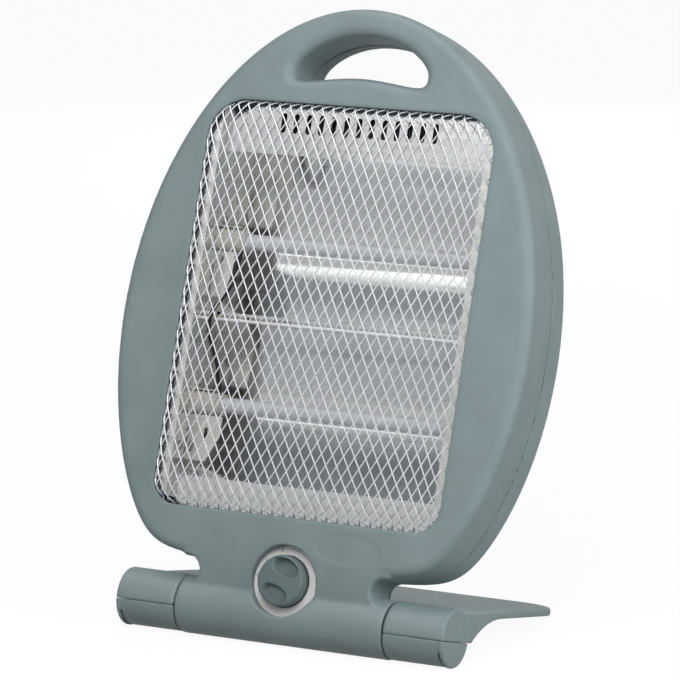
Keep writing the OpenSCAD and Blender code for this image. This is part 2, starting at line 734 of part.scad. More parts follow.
// Sleeved lead that joins the left ends of the two tubes in front of the reflector's ridge.
link_r = 1.3;
link_x = -81;
link_end_x = -cap_x0(-1) - link_r - 1.3;
link_end_y = 4.6;
link_end_z = sqrt(cap_r * cap_r - link_end_y * link_end_y) + 0.3;
link_points = [
    [link_end_x, tube_y - link_end_y, tube_zs[1] - link_end_z], [link_x + 3, 1, 219], [link_x + 6, -4, 210],
    [link_x + 4, -9, 199], [link_x - 1, -11, 190], [link_x - 3, -11.6, 182], [link_x - 2, -11, 173],
    [link_x + 1, -8, 163], [link_x + 3, -3.5, 154], [link_x + 2, 0.5, 146],
    [link_end_x, tube_y - link_end_y, tube_zs[0] + link_end_z]
];
link_sides = 8;
function unit(v) = v / norm(v);
function tangent(pts, j) = unit(pts[min(j + 1, len(pts) - 1)] - pts[max(j - 1, 0)]);
function link_ring(j) =
    let (t = tangent(link_points, j), u = unit(cross(t, [0, 1, 0])), v = cross(u, t))
    [for (q = [0:link_sides - 1]) let (a = 360 * q / link_sides)
        link_points[j] + link_r * (cos(a) * u + sin(a) * v)];

module link_wire() {
    color([0.1, 0.1, 0.1]) body_place() loft([for (j = [0:len(link_points) - 1]) link_ring(j)]);
}

// ---------- control ----------
ring_t = 1.2;
nut_t = 1.6;
bush_r = 4;

module dial_ring() {
    color([0.83, 0.82, 0.79]) body_place() translate([0, 0, knob_z]) difference() {
        y_rod(-pocket_floor - ring_t, -pocket_floor, pocket_d / 2 - 0.2);
        y_rod(-pocket_floor - ring_t - 1, 0, knob_d / 2 + 0.6);
    }
}

module rotary_switch() {
    color([0.16, 0.16, 0.17]) body_place() translate([0, 0, knob_z]) difference() {
        union() {
            block([-15, -pocket_floor + wall, -13], [15, part_y - 3, 13]);
            y_rod(-pocket_floor - nut_t - 1, -pocket_floor + wall, bush_r - 0.1);
            for (x = [-9, 0, 9]) block([x - 2.4, part_y - 3, -4], [x + 2.4, part_y, -3.2]);
        }
        y_rod(-30, 0, shaft_d / 2 + 0.06);
    }
}

module switch_nut() {
    color([0.7, 0.7, 0.68]) body_place() translate([0, 0, knob_z]) difference() {
        translate([0, -pocket_floor, 0]) rotate([90, 0, 0]) cylinder(r = 6.4, h = nut_t, $fn = 6);
        y_rod(-30, 0, bush_r - 0.1);
    }
}

knob_base = -pocket_floor - knob_gap;
module knob() {
    color([0.43, 0.48, 0.495]) body_place() translate([0, 0, knob_z]) difference() {
        union() {
            y_rod(knob_front_y + 1.5, knob_base, knob_d / 2);
            y_rod(knob_front_y, knob_front_y + 1.5, knob_d / 2 - knob_chamfer);
        }
        y_rod(knob_base - 3.2, knob_base + 1, 9);
        y_rod(knob_front_y + 2, knob_base + 1, shaft_d / 2 + 0.02);
        rotate([0, -grip_bar_angle, 0]) for (s = [-1, 1]) intersection() {
            y_rod(knob_front_y - 1, knob_front_y + 4.5, knob_d / 2 - 3.6);
            block([-20, knob_front_y - 2, s > 0 ? grip_bar_w / 2 : -30],
                [20, knob_front_y + 5, s > 0 ? 30 : -grip_bar_w / 2]);
        }
    }
}

module switch_shaft() {
    color([0.75, 0.74, 0.7]) body_place() translate([0, 0, knob_z])
        y_rod(knob_front_y + 2.1, -0.5, shaft_d / 2);
}

// ---------- inside the back ----------
inner_back_y = back_y - wall;

module terminal_block() {
    color([0.85, 0.83, 0.76]) body_place() difference() {
        block([-64, inner_back_y - 13, 50], [-36, inner_back_y, 64]);
        for (k = [0:2]) translate([-59 + 9 * k, inner_back_y - 7, 57]) {
            y_rod(-8, -3, 2.6);
            translate([0, 0, -9]) cylinder(r = 1.8, h = 18);
        }
    }
}

cutout_t = 4;
cutout_r = 8.5;
module thermal_cutout() {
    color([0.25, 0.25, 0.27]) body_place() translate([0, 12, ridge_z]) {
        x_rod(end_x + sheet, end_x + sheet + cutout_t, cutout_r);
        x_rod(end_x + sheet + cutout_t, end_x + sheet + 2 * cutout_t, 0.7 * cutout_r);
    }
}

tip_w = 22;
tip_d = 14;
tip_h = 24;
tip_cap = 4;
tip_x = 51;
tip_z = 46;
module tip_over_switch() {
    color([0.2, 0.2, 0.21]) body_place() translate([tip_x, inner_back_y, tip_z]) {
        block([-tip_w / 2, -tip_d, 0], [tip_w / 2, 0, tip_h]);
        translate([0, -tip_d / 2, tip_h]) cylinder(r = tip_cap, h = tip_cap);
    }
}

module inlet_bush() {
    color([0.12, 0.12, 0.12]) body_place() translate([inlet_x, back_y, inlet_z]) rotate([-90, 0, 0])
        rotate_extrude() polygon([
            [3.2, -wall - 3], [4.6, -wall - 3], [inlet_r - 0.05, -wall - 0.4], [inlet_r - 0.05, 0],
            [7.6, 0], [7.6, 1.4], [6.2, 2.6], [3.2, 2.6]
        ]);
}

// ---------- stand ----------
parting_low = -2.2;
disc_r = barrel_r - stand_wall - 0.2;
cover_r = barrel_r - 0.5;
foot_slope = 0.19;
foot_nose = foot_reach - 10;
nose_r = 1.4;
foot_root_y = 14;
foot_front_y = barrel_r + 1.3;
foot_rib = 2.5;

function parting_z(y) = parting_low - tan(parting_slope) * y;
function foot_top(y) = foot_root_z - axis_z - foot_slope * (y - foot_root_y);

// Half space above (up = 1) or below (up = -1) the parting, with a hair line between.
module parting_side(up, gap) {
    y0 = -2 * barrel_r;
    y1 = foot_reach + barrel_r;
    x_extrude(-half_w - 1, half_w + 1) polygon([
        [y0, parting_z(y0) + up * gap], [y1, parting_z(y1) + up * gap],
        [y1, up * foot_reach], [y0, up * foot_reach]
    ]);
}

// Side profile of the foot plate, with the arch that runs into the barrels.
module foot_profile() {
    difference() {
        union() {
            polygon([
                [foot_root_y - 6, foot_top(foot_root_y)],
                [foot_root_y, foot_top(foot_root_y)],
                [foot_reach - nose_r, -axis_z + 1 + 2 * nose_r],
                [foot_reach - nose_r, -axis_z + 1],
                [foot_nose - 12, -axis_z + 1],
                [foot_nose - 14, foot_top(foot_nose - 14) - foot_t],
                [66, foot_top(66) - foot_t],
                [66, -30],
                [foot_root_y - 6, -30]
            ]);
            translate([foot_reach - nose_r, -axis_z + 1 + nose_r]) circle(r = nose_r);
        }
        translate([arch_y, arch_z]) circle(r = arch_r, $fn = 96);
        translate([arch_y, arch_z - arch_r]) square([foot_reach, arch_r + 0.1]);
    }
}

// The arch touches the plate's underside at its tangent point.
arch_touch_y = 66;
arch_y = arch_touch_y - arch_r * sin(atan(foot_slope));
arch_z = foot_top(arch_touch_y) - foot_t - arch_r * cos(atan(foot_slope));

module foot_plan() {
    r = foot_corner_r;
    translate([-half_w, 0]) square([stand_w, foot_reach - r]);
    translate([-half_w + r, 0]) square([stand_w - 2 * r, foot_reach]);
    for (s = [-1, 1]) translate([s * (half_w - r), foot_reach - r]) circle(r = r, $fn = 96);
}

module foot_plate() {
    difference() {
        intersection() {
            x_extrude(-half_w, half_w) foot_profile();
            translate([0, 0, -40]) linear_extrude(height = 100) foot_plan();
        }
        block([-stand_x, -10, -60], [stand_x, foot_front_y, 60]);
        foot_hollows();
    }
}

// Hollows under the plate, between its rims and ribs.
foot_cells = 4;
module foot_hollows() {
    cell_w = (stand_w - foot_rib) / foot_cells;
    for (k = [0:foot_cells - 1])
        x_extrude(-half_w + foot_rib + k * cell_w, -half_w + (k + 1) * cell_w)
            polygon([
                [foot_front_y + foot_rib, -30],
                [foot_front_y + foot_rib, foot_top(foot_front_y + foot_rib) - foot_rib],
                [foot_nose - 30, foot_top(foot_nose - 30) - foot_rib],
                [foot_nose - 30, -30]
            ]);
}

cover_screw_x = (stand_x + half_w) / 2 + 2;
cover_screw_len = 12;
boss_top = barrel_r - 1;
cover_shelf = -barrel_r + 5.4;

module stand_moulding() {
    color([0.47, 0.52, 0.535]) stand_place() difference() {
        union() {
            intersection() {
                union() {
                    for (s = [-1, 1]) mirror([s < 0 ? 1 : 0, 0, 0]) difference() {
                        x_rod(stand_x, half_w, barrel_r);
                        x_rod(stand_x + 3, half_w - stand_wall, barrel_r - stand_wall);
                    }
                    difference() {
                        foot_plate();
                        for (s = [-1, 1]) mirror([s < 0 ? 1 : 0, 0, 0])
                            x_rod(stand_x + 3, half_w - stand_wall, barrel_r - stand_wall);
                    }
                }
                parting_side(1, 0.1);
            }
            for (s = [-1, 1]) mirror([s < 0 ? 1 : 0, 0, 0]) {
                x_rod(stand_x, stand_x + 3, disc_r);
                translate([cover_screw_x, 0, cover_shelf + 3.3])
                    cylinder(r = 3.5, h = boss_top - cover_shelf - 3.3);
            }
        }
        for (s = [-1, 1]) mirror([s < 0 ? 1 : 0, 0, 0]) {
            x_rod(stand_x - 1, stand_x + 4, bolt_r + bolt_clear);
            translate([cover_screw_x, 0, cover_shelf]) cylinder(r = screw_bore_r, h = cover_screw_len + 2);
        }
        for (s = [-1, 1]) translate([s * pad_x, pad_y, -axis_z - 1]) cylinder(r = pad_r, h = 1 + pad_t);
    }
}

pad_r = 6;
pad_t = 2.2;
pad_x = half_w - foot_corner_r;
pad_y = foot_reach - 16;

module rubber_feet() {
    color([0.1, 0.1, 0.1]) stand_place() for (s = [-1, 1])
        translate([s * pad_x, pad_y, -axis_z]) cylinder(r = pad_r - 0.05, h = pad_t - 0.05);
}

flange_t = 2.7;
slot_t = 1.1;
slot_low_z = 6;
slot_low_y = 5;

// Lower half of an end barrel, with its end flange and the crescent slot beside it.
module barrel_cover(s) {
    color([0.45, 0.5, 0.515]) stand_place() mirror([s < 0 ? 1 : 0, 0, 0]) difference() {
        intersection() {
            union() {
                difference() {
                    union() {
                        x_rod(stand_x, half_w - 1, cover_r);
                        x_rod(half_w - flange_t, half_w, barrel_r);
                    }
                    x_rod(stand_x - 1, half_w - stand_wall, barrel_r - stand_wall);
                }
                translate([cover_screw_x, 0, -barrel_r + 0.6]) cylinder(r = 4.6, h = 8);
            }
            parting_side(-1, 0.1);
            block([0, -30, -axis_z], [half_w + 1, 30, 30]);
        }
        difference() {
            x_rod(half_w - flange_t - slot_t, half_w - flange_t, barrel_r + 1);
            x_rod(half_w - flange_t - slot_t - 1, half_w, barrel_r - 1.5);
            block([0, 0, -axis_z * 2], [half_w + 1, axis_z * 2, axis_z * 2]);
            block([0, -axis_z * 2, -slot_low_z], [half_w + 1, axis_z * 2, axis_z * 2]);
            block([0, -slot_low_y, -axis_z * 2], [half_w + 1, axis_z * 2, axis_z * 2]);
        }
        translate([cover_screw_x, 0, -barrel_r - 1]) cylinder(r = head_r + 0.4, h = 1 + 5.4);
        translate([cover_screw_x, 0, cover_shelf - 1]) cylinder(r = screw_r + 0.4, h = 20);
        translate([cover_screw_x, 0, cover_shelf + 3.2]) cylinder(r = 3.7, h = 20);
    }
}

module cover_screws() {
    color([0.6, 0.6, 0.58]) stand_place() for (s = [-1, 1]) translate([s * cover_screw_x, 0, cover_shelf]) {
        translate([0, 0, -head_h]) cylinder(r = head_r, h = head_h);
        cylinder(r = screw_r, h = cover_screw_len);
    }
}

// ---------- tilt hinge ----------
web_x = hinge_x - hinge_web;
washer_t = 1.2;
nut_h = 4.5;
bolt_head_r = 6.5;
bolt_head_h = 4;
nut_r = 7.5;
wave_r = 8;
friction_r = 12;

module hinge_bolt(s) {
    color([0.66, 0.66, 0.64]) stand_place() mirror([s < 0 ? 1 : 0, 0, 0]) {
        x_rod(stand_x + 3, stand_x + 3 + bolt_head_h, bolt_head_r);
        x_rod(web_x - washer_t - nut_h - 1.5, stand_x + 3, bolt_r);
    }
}

module washer(x0, x1, r) {
    difference() {
        x_rod(x0, x1, r);
        x_rod(x0 - 1, x1 + 1, bolt_r + bolt_clear);
    }
}

module friction_washers() {
    color([0.2, 0.2, 0.2]) stand_place() for (s = [-1, 1]) mirror([s < 0 ? 1 : 0, 0, 0])
        washer(hinge_x, stand_x, friction_r);
}

module wave_washers() {
    color([0.72, 0.72, 0.7]) stand_place() for (s = [-1, 1]) mirror([s < 0 ? 1 : 0, 0, 0])
        washer(web_x - washer_t, web_x, wave_r);
}

module hinge_nuts() {
    color([0.62, 0.62, 0.6]) stand_place() for (s = [-1, 1]) mirror([s < 0 ? 1 : 0, 0, 0]) difference() {
        translate([web_x - washer_t - nut_h, 0, 0]) rotate([0, 90, 0]) cylinder(r = nut_r, h = nut_h, $fn = 6);
        x_rod(web_x - washer_t - nut_h - 1, web_x, bolt_r + 0.02);
    }
}

stand_moulding();
barrel_cover(-1);  // barrel_cover_left
barrel_cover(1);  // barrel_cover_right
cover_screws();
rubber_feet();
hinge_bolt(-1);  // hinge_bolt_left
hinge_bolt(1);  // hinge_bolt_right
friction_washers();
wave_washers();
hinge_nuts();
front_casing();
back_cover();
case_screws();
grille_mesh();
stay_rod();
reflector();
end_plate(-1);  // end_plate_left
end_plate(1);  // end_plate_right
plate_screws();
quartz_tube(tube_zs[1]);  // quartz_tube_upper
quartz_tube(tube_zs[0]);  // quartz_tube_lower
filament(tube_zs[1]);  // filament_upper
filament(tube_zs[0]);  // filament_lower
end_caps(-1);  // end_caps_left
end_caps(1);  // end_caps_right
tube_brackets(-1);  // tube_brackets_left
tube_brackets(1);  // tube_brackets_right
bracket_screws();
link_wire();
dial_ring();
rotary_switch();
switch_nut();
terminal_block();
thermal_cutout();
tip_over_switch();
inlet_bush();
knob();
switch_shaft();
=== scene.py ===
"""Dresses a packed two-tube halogen heater: moulded shells, wire grille, reflector, tubes, knob and stand.

Sizes are in millimetres of each body's own frame, the studio's in metres. The members of a pair, triple or quad are
named where it is taken apart.
"""

import json
import logging
import math
from dataclasses import dataclass, field
from enum import Enum
from functools import reduce
from typing import Callable, Iterable, Sequence

import bmesh
import bpy
import numpy as np
from mathutils import Matrix, Vector


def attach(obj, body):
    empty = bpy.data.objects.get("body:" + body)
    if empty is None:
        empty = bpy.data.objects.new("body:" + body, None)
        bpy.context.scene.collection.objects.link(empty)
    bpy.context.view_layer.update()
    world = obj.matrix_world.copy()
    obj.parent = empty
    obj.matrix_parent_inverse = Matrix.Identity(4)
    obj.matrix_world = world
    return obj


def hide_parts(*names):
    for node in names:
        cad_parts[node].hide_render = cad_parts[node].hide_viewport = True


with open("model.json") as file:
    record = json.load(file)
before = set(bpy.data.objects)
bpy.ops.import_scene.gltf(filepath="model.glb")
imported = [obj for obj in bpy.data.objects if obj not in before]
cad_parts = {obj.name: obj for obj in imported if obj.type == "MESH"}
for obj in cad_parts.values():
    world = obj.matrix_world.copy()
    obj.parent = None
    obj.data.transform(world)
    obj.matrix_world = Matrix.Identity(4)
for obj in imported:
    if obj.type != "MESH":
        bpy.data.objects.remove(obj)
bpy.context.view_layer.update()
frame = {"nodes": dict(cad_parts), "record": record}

LOG = logging.getLogger("heater")
MM = 0.001
NOISE_SPAN = (0.3, 0.7)
NUDGE = 1e-7
CHUNK = 6000
Array = np.ndarray
Axes = Sequence[Array]
Pair = tuple[float, float]
Triple = tuple[float, float, float]
Quad = tuple[float, float, float, float]
Spans = Sequence[Triple]
Socket = bpy.types.NodeSocket
Field3 = Callable[[Array, Array, Array], Array]


class Side(Enum):
    """The two ends of the hinge line, as seen from the front."""

    LEFT = -1
    RIGHT = 1


class Family(Enum):
    """The two families of slanting wires in the grille."""

    RISING = 1
    FALLING = -1


# ---------------------------------------------------------------- frames


@dataclass(frozen=True)
class HingeFrame:
    """Millimetre frame with its origin on the hinge axis, leaning back by an angle."""

    lean_deg: float
    origin_y: float = 72.625
    axis_z: float = 18.4

    def to_world(self, points: Array) -> Array:
        """Turns points about the hinge axis and moves them into the model's frame.

        Formula: y' = y cos a + z sin a - origin, z' = -y sin a + z cos a + axis height, all in metres.

        Args:
            points: rows of x, y, z in millimetres.

        Returns:
            Rows of x, y, z in metres.
        """
        a = math.radians(self.lean_deg)
        x, y, z = np.asarray(points, float).reshape(-1, 3).T
        return np.stack(
            [
                x,
                y * math.cos(a) + z * math.sin(a) - self.origin_y,
                -y * math.sin(a) + z * math.cos(a) + self.axis_z,
            ],
            axis=1,
        ) * MM


BODY = HingeFrame(18.0)
STAND = HingeFrame(0.0)


# ---------------------------------------------------------------- meshes


@dataclass
class Piece:
    """One mesh of the scene, in millimetres of its own frame, with the CAD nodes it stands for and its body.

    It takes its slot's finish unless it names another. Points closer than merge are joined, and a sheet gets a wall.
    """

    name: str
    points: Array
    faces: Sequence
    slot: str
    replaces: tuple[str, ...] = ()
    place: HingeFrame = BODY
    body: str = "heater"
    finish: str = ""
    sharp_deg: float = 40.0
    merge: float = 0.0
    wall: float = 0.0

    def build(self, finishes: "Finishes") -> bpy.types.Object:
        """Makes the object at the origin, dresses it, hangs it on its body and gives a sheet its wall.

        Args:
            finishes: the finishes, of which the piece takes its slot's unless it names another.

        Returns:
            The new object.
        """
        mesh = bpy.data.meshes.new(self.name)
        faces = self.faces.tolist() if isinstance(self.faces, np.ndarray) else list(self.faces)
        mesh.from_pydata(self.place.to_world(self.points).tolist(), [], faces)
        mesh.validate()
        if self.merge > 0:
            merge_points(mesh, self.merge * MM)
        mesh.polygons.foreach_set("use_smooth", np.ones(len(mesh.polygons), bool))
        mesh.set_sharp_from_angle(angle=math.radians(self.sharp_deg))
        mesh.materials.append(finishes.made[self.finish or self.slot])
        obj = add_object(self.name, mesh)
        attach(obj, self.body)
        if self.replaces:
            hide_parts(*self.replaces)
        if self.wall > 0:
            thicken(obj, self.wall, self.sharp_deg)
        LOG.info("%s: %d points, %d faces", self.name, len(obj.data.vertices), len(obj.data.polygons))
        return obj


def add_object(name: str, data: bpy.types.ID) -> bpy.types.Object:
    """Puts a new object into the scene.

    Args:
        name: its name.
        data: its mesh, curve, camera or lamp.

    Returns:
        The object.
    """
    obj = bpy.data.objects.new(name, data)
    bpy.context.scene.collection.objects.link(obj)
    return obj


def baked(obj: bpy.types.Object) -> bpy.types.Mesh:
    """The mesh that an object's curve or modifiers come to."""
    return bpy.data.meshes.new_from_object(obj.evaluated_get(bpy.context.evaluated_depsgraph_get()))


def merge_points(mesh: bpy.types.Mesh, distance: float) -> None:
    """Joins points that lie close together and turns all faces outwards.

    Args:
        mesh: the mesh to change.
        distance: the reach in metres.
    """
    work = bmesh.new()
    work.from_mesh(mesh)
    bmesh.ops.remove_doubles(work, verts=work.verts, dist=distance)
    bmesh.ops.recalc_face_normals(work, faces=work.faces)
    work.to_mesh(mesh)
    work.free()


def grid_faces(rows: int, columns: int, wrap_rows: bool = False, wrap_columns: bool = False) -> Array:
    """Quads of a grid of rows by columns.

    Formula: quad (i, j) joins the points i*columns + j and their neighbours at i + 1 and j + 1, taken round
    where the grid closes on itself.

    Args:
        rows: number of point rows.
        columns: number of point columns.
        wrap_rows: whether the last row joins the first.
        wrap_columns: whether the last column joins the first.

    Returns:
        Rows of four point indices.
    """
    i, j = np.meshgrid(
        np.arange(rows if wrap_rows else rows - 1),
        np.arange(columns if wrap_columns else columns - 1),
        indexing="ij",
    )
    a, b = (i + 1) % rows, (j + 1) % columns
    return np.stack([i * columns + j, i * columns + b, a * columns + b, a * columns + j], -1).reshape(-1, 4)


def tube_along(path: Array, radius: float | Array, sides: int, closed: bool = False) -> tuple[Array, list]:
    """Round tube along a path, with its ends closed.

    Formula: each ring is path + radius (cos a u + sin a v), with u and v square to the path's tangent.

    Args:
        path: rows of x, y, z along the middle of the tube.
        radius: one radius, or one for each point.
        sides: number of points round each ring.
        closed: whether the path joins its own start.

    Returns:
        The points and the faces.
    """
    ahead = np.roll(path, -1, 0) if closed else np.vstack([path[1:], path[-1:]])
    behind = np.roll(path, 1, 0) if closed else np.vstack([path[:1], path[:-1]])
    tangent = ahead - behind
    tangent /= np.linalg.norm(tangent, axis=1, keepdims=True)
    helper = np.tile([0.0, 1.0, 0.02], (len(path), 1))
    u = np.cross(tangent, helper)
    u /= np.linalg.norm(u, axis=1, keepdims=True)
    v = np.cross(tangent, u)
    a = np.arange(sides) * 2 * np.pi / sides
    size = np.broadcast_to(np.asarray(radius, float), (len(path),))[:, None, None]
    rings = path[:, None] + size * (np.cos(a)[None, :, None] * u[:, None] + np.sin(a)[None, :, None] * v[:, None])
    faces = grid_faces(len(path), sides, wrap_rows=closed, wrap_columns=True).tolist()
    if not closed:
        last = (len(path) - 1) * sides
        faces += [list(range(sides))[::-1], [last + k for k in range(sides)]]
    return rings.reshape(-1, 3), faces


def lathe(profile: Array, steps: int) -> Array:
    """Points of turning about the Y axis.

    Formula: a profile point (r, y) goes to (r cos a, y, r sin a) for each step of the angle a.

    Args:
        profile: rows of radius and y.
        steps: number of steps round.

    Returns:
        The points, ring by ring.
    """
    a = np.arange(steps) * 2 * np.pi / steps
    r, y = profile[:, :1], profile[:, 1:]
    return np.stack(np.broadcast_arrays(r * np.cos(a), y, r * np.sin(a)), -1).reshape(-1, 3)


def slot_rows(middle: float, half: float, count: int) -> Array:
    """Heights of the rows across a slot, closer towards its ends: middle + half sin a, a from -90 to 90 degrees."""
    return middle + half * np.sin(np.linspace(-np.pi / 2, np.pi / 2, count))


def pierced(rows: Array, left: Array, right: Array, slots: Sequence[Sequence[float]]) -> tuple[Array, Array]:
    """Grid of a sheet whose columns follow the rounded outline of each slot, with the slots left open.

    Formula: a slot's half width is r along its straight part and sqrt(r^2 - t^2) at t mm into its round end.

    Args:
        rows: heights of the rows.
        left: left edge at each row.
        right: right edge at each row.
        slots: middle x, middle z, half width and half height of each slot, from left to right.

    Returns:
        The sheet's x by row and column, and its quads.
    """
    columns = [left]
    for cx, cz, r, end in slots:
        away = np.abs(rows - cz)
        tip = np.clip(away - (end - r), 0, r)
        half = np.where(away <= end + 1e-6, np.sqrt(np.maximum(r**2 - tip**2, 0)), r)
        columns += [cx - half, cx + half]
    x = np.stack([*columns, right], 1)
    quads = grid_faces(len(rows), x.shape[1])
    row, column = quads[:, 0] // x.shape[1], quads[:, 0] % x.shape[1]
    middle = (rows[row] + rows[row + 1]) / 2
    at = np.array(slots)[np.minimum(column // 2, len(slots) - 1)]
    inside = (column % 2 == 1) & (np.abs(middle - at[:, 1]) < at[:, 3])
    return x, quads[~inside]


def thicken(obj: bpy.types.Object, wall: float, sharp_deg: float) -> None:
    """Gives a sheet its wall, with its rims kept crisp.

    Args:
        obj: the sheet.
        wall: its thickness in millimetres.
        sharp_deg: angle from which an edge is sharp.
    """
    solid = obj.modifiers.new("thickness", "SOLIDIFY")
    solid.thickness = wall * MM
    solid.offset = -1.0
    mesh = baked(obj)
    obj.modifiers.clear()
    obj.data = mesh
    mesh.set_sharp_from_angle(angle=math.radians(sharp_deg))


def join(parts: Iterable[tuple[Array, Sequence]]) -> tuple[Array, list]:
    """Puts several point and face lists into one, shifting each list's indices by the points before it.

    Args:
        parts: points and faces of each.

    Returns:
        The points and the faces of all.
    """
    points, faces, start = [], [], 0
    for p, f in parts:
        points.append(np.asarray(p, float).reshape(-1, 3))
        faces += [[int(v) + start for v in face] for face in f]
        start += len(points[-1])
    return np.vstack(points), faces


def bands(spans: Spans) -> Array:
    """Axis whose spacing changes from span to span.

    Args:
        spans: start, end and spacing of each stretch, in order.

    Returns:
        The rising values of the axis.
    """
    parts = [np.linspace(a, b, max(2, round((b - a) / step) + 1))[:-1] for a, b, step in spans]
    return np.concatenate([*parts, [spans[-1][1]]])


# ---------------------------------------------------------------- fields of distance


def cut_round(a: Array, b: Array, r: float) -> Array:
    """Distance to what two solids share, with the edge between them rounded.

    Formula: min(max(a, b), -r) plus the length of (max(a + r, 0), max(b + r, 0)).

    Args:
        a: distance to the first solid, negative inside.
        b: distance to the second solid.
        r: radius of the edge.

    Returns:
        The joint distance.
    """
    return np.minimum(np.maximum(a, b), -r) + np.hypot(np.maximum(a + r, 0), np.maximum(b + r, 0))


def add_round(a: Array, b: Array, r: float) -> Array:
    """Distance to two solids together, with a fillet of radius r where they meet."""
    return -cut_round(-a, -b, r)


def shared(*solids: Array) -> Array:
    """Distance to what several solids share: the largest of their distances."""
    return reduce(np.maximum, solids)


def smooth_step(t: Array) -> Array:
    """Eases t, held between 0 and 1, by t^2 (3 - 2 t)."""
    t = np.clip(t, 0, 1)
    return t * t * (3 - 2 * t)


def oblong(x: Array, z: Array, half_x: float, half_z: float, r: Array | float) -> Array:
    """Distance in a plane to an oblong about the origin with round corners.

    Formula: with q the place beyond the corners' middles, the length of max(q, 0) plus min(max(q), 0), less r.

    Args:
        x: x values.
        z: z values, which broadcast against x.
        half_x: half its width.
        half_z: half its height.
        r: radius of its corners.

    Returns:
        Distances, negative inside.
    """
    qx, qz = np.abs(x) - (half_x - r), np.abs(z) - (half_z - r)
    return np.hypot(np.maximum(qx, 0), np.maximum(qz, 0)) + np.minimum(np.maximum(qx, qz), 0) - r


def loop_distance(loop: Array, x: Array, z: Array) -> Array:
    """Signed distance in the XZ plane to a closed loop that runs clockwise as seen from the front.

    Formula: the least distance to the loop's segments, with the sign of the cross product at the nearest one.

    Args:
        loop: rows of x and z.
        x: x values.
        z: z values, which broadcast against x.

    Returns:
        Distances of the broadcast shape, negative inside.
    """
    x, z = np.broadcast_arrays(x, z)
    points = np.stack([x.ravel(), z.ravel()], 1)
    start, step = loop, np.roll(loop, -1, 0) - loop
    length2 = (step**2).sum(1)
    out = []
    for chunk in np.array_split(points, max(1, len(points) // CHUNK)):
        to = chunk[:, None] - start[None]
        t = np.clip((to * step).sum(2) / length2, 0, 1)
        off = to - t[..., None] * step
        near2 = (off**2).sum(2)
        k = near2.argmin(1)
        rows = np.arange(len(chunk))
        side = to[rows, k, 0] * step[k, 1] - to[rows, k, 1] * step[k, 0]
        out.append(np.sqrt(near2[rows, k]) * np.sign(-side))
    return np.concatenate(out).reshape(x.shape)


def surface_net(values: Array, axes: Axes) -> tuple[Array, Array]:
    """Closed surface where a field on a grid changes sign.

    Formula: each grid cell that the surface crosses gets one point, the mean of the straight-line crossings of
    its twelve edges, and each grid edge that changes sign gets a quad of the four cells round it.

    Args:
        values: the field on the grid, negative inside.
        axes: the grid's x, y and z values.

    Returns:
        The points and the quads, which face outwards.
    """
    inside = values < 0
    n = np.array(values.shape)
    corners = [(a, b, c) for a in (0, 1) for b in (0, 1) for c in (0, 1)]
    count = sum(
        inside[a : n[0] - 1 + a, b : n[1] - 1 + b, c : n[2] - 1 + c].astype(np.int8) for a, b, c in corners
    )
    crossed = (count > 0) & (count < len(corners))
    number = np.full(crossed.shape, -1)
    number[crossed] = np.arange(crossed.sum())
    cell = np.argwhere(crossed)
    total, hits = np.zeros((len(cell), 3)), np.zeros(len(cell))
    for corner in corners:
        for axis in range(3):
            if corner[axis]:
                continue
            a, b = cell + corner, cell + corner + np.eye(3, dtype=int)[axis]
            va, vb = values[tuple(a.T)], values[tuple(b.T)]
            hit = (va < 0) != (vb < 0)
            t = np.where(hit, va / np.where(hit, va - vb, 1), 0)
            pa, pb = (np.stack([axes[d][at[:, d]] for d in range(3)], 1) for at in (a, b))
            total += np.where(hit[:, None], pa + t[:, None] * (pb - pa), 0)
            hits += hit
    quads = []
    for axis in range(3):
        across = [(axis + 1) % 3, (axis + 2) % 3]
        low, high = [slice(1, -1)] * 3, [slice(1, -1)] * 3
        low[axis], high[axis] = slice(0, -1), slice(1, None)
        falls, rises = inside[tuple(low)], inside[tuple(high)]
        for change, flip in ((falls & ~rises, False), (~falls & rises, True)):
            ring = []
            for shift in ((0, 0), (1, 0), (1, 1), (0, 1)):
                at = np.argwhere(change)
                at[:, across] += shift
                ring.append(number[tuple(at.T)])
            quad = np.stack(ring, 1)
            quads.append(quad[:, ::-1] if flip else quad)
    return total / hits[:, None], np.vstack(quads)


def moulding(shape: Field3, spans: Sequence[Spans], mirror: bool = False) -> tuple[Array, Array]:
    """Surface of a moulded solid given as a field of distance.

    Args:
        shape: the distance at x, y, z, negative inside.
        spans: for each axis of the grid, the start, end and spacing of each stretch.
        mirror: whether the grid's x values change their sign.

    Returns:
        The points and the quads.
    """
    x, y, z = (bands(span) for span in spans)
    x = -x[::-1] if mirror else x
    values = shape(x[:, None, None], y[None, :, None], z[None, None, :])
    return surface_net(np.broadcast_to(values, (len(x), len(y), len(z))).astype(float) + NUDGE, (x, y, z))


# ---------------------------------------------------------------- finishes


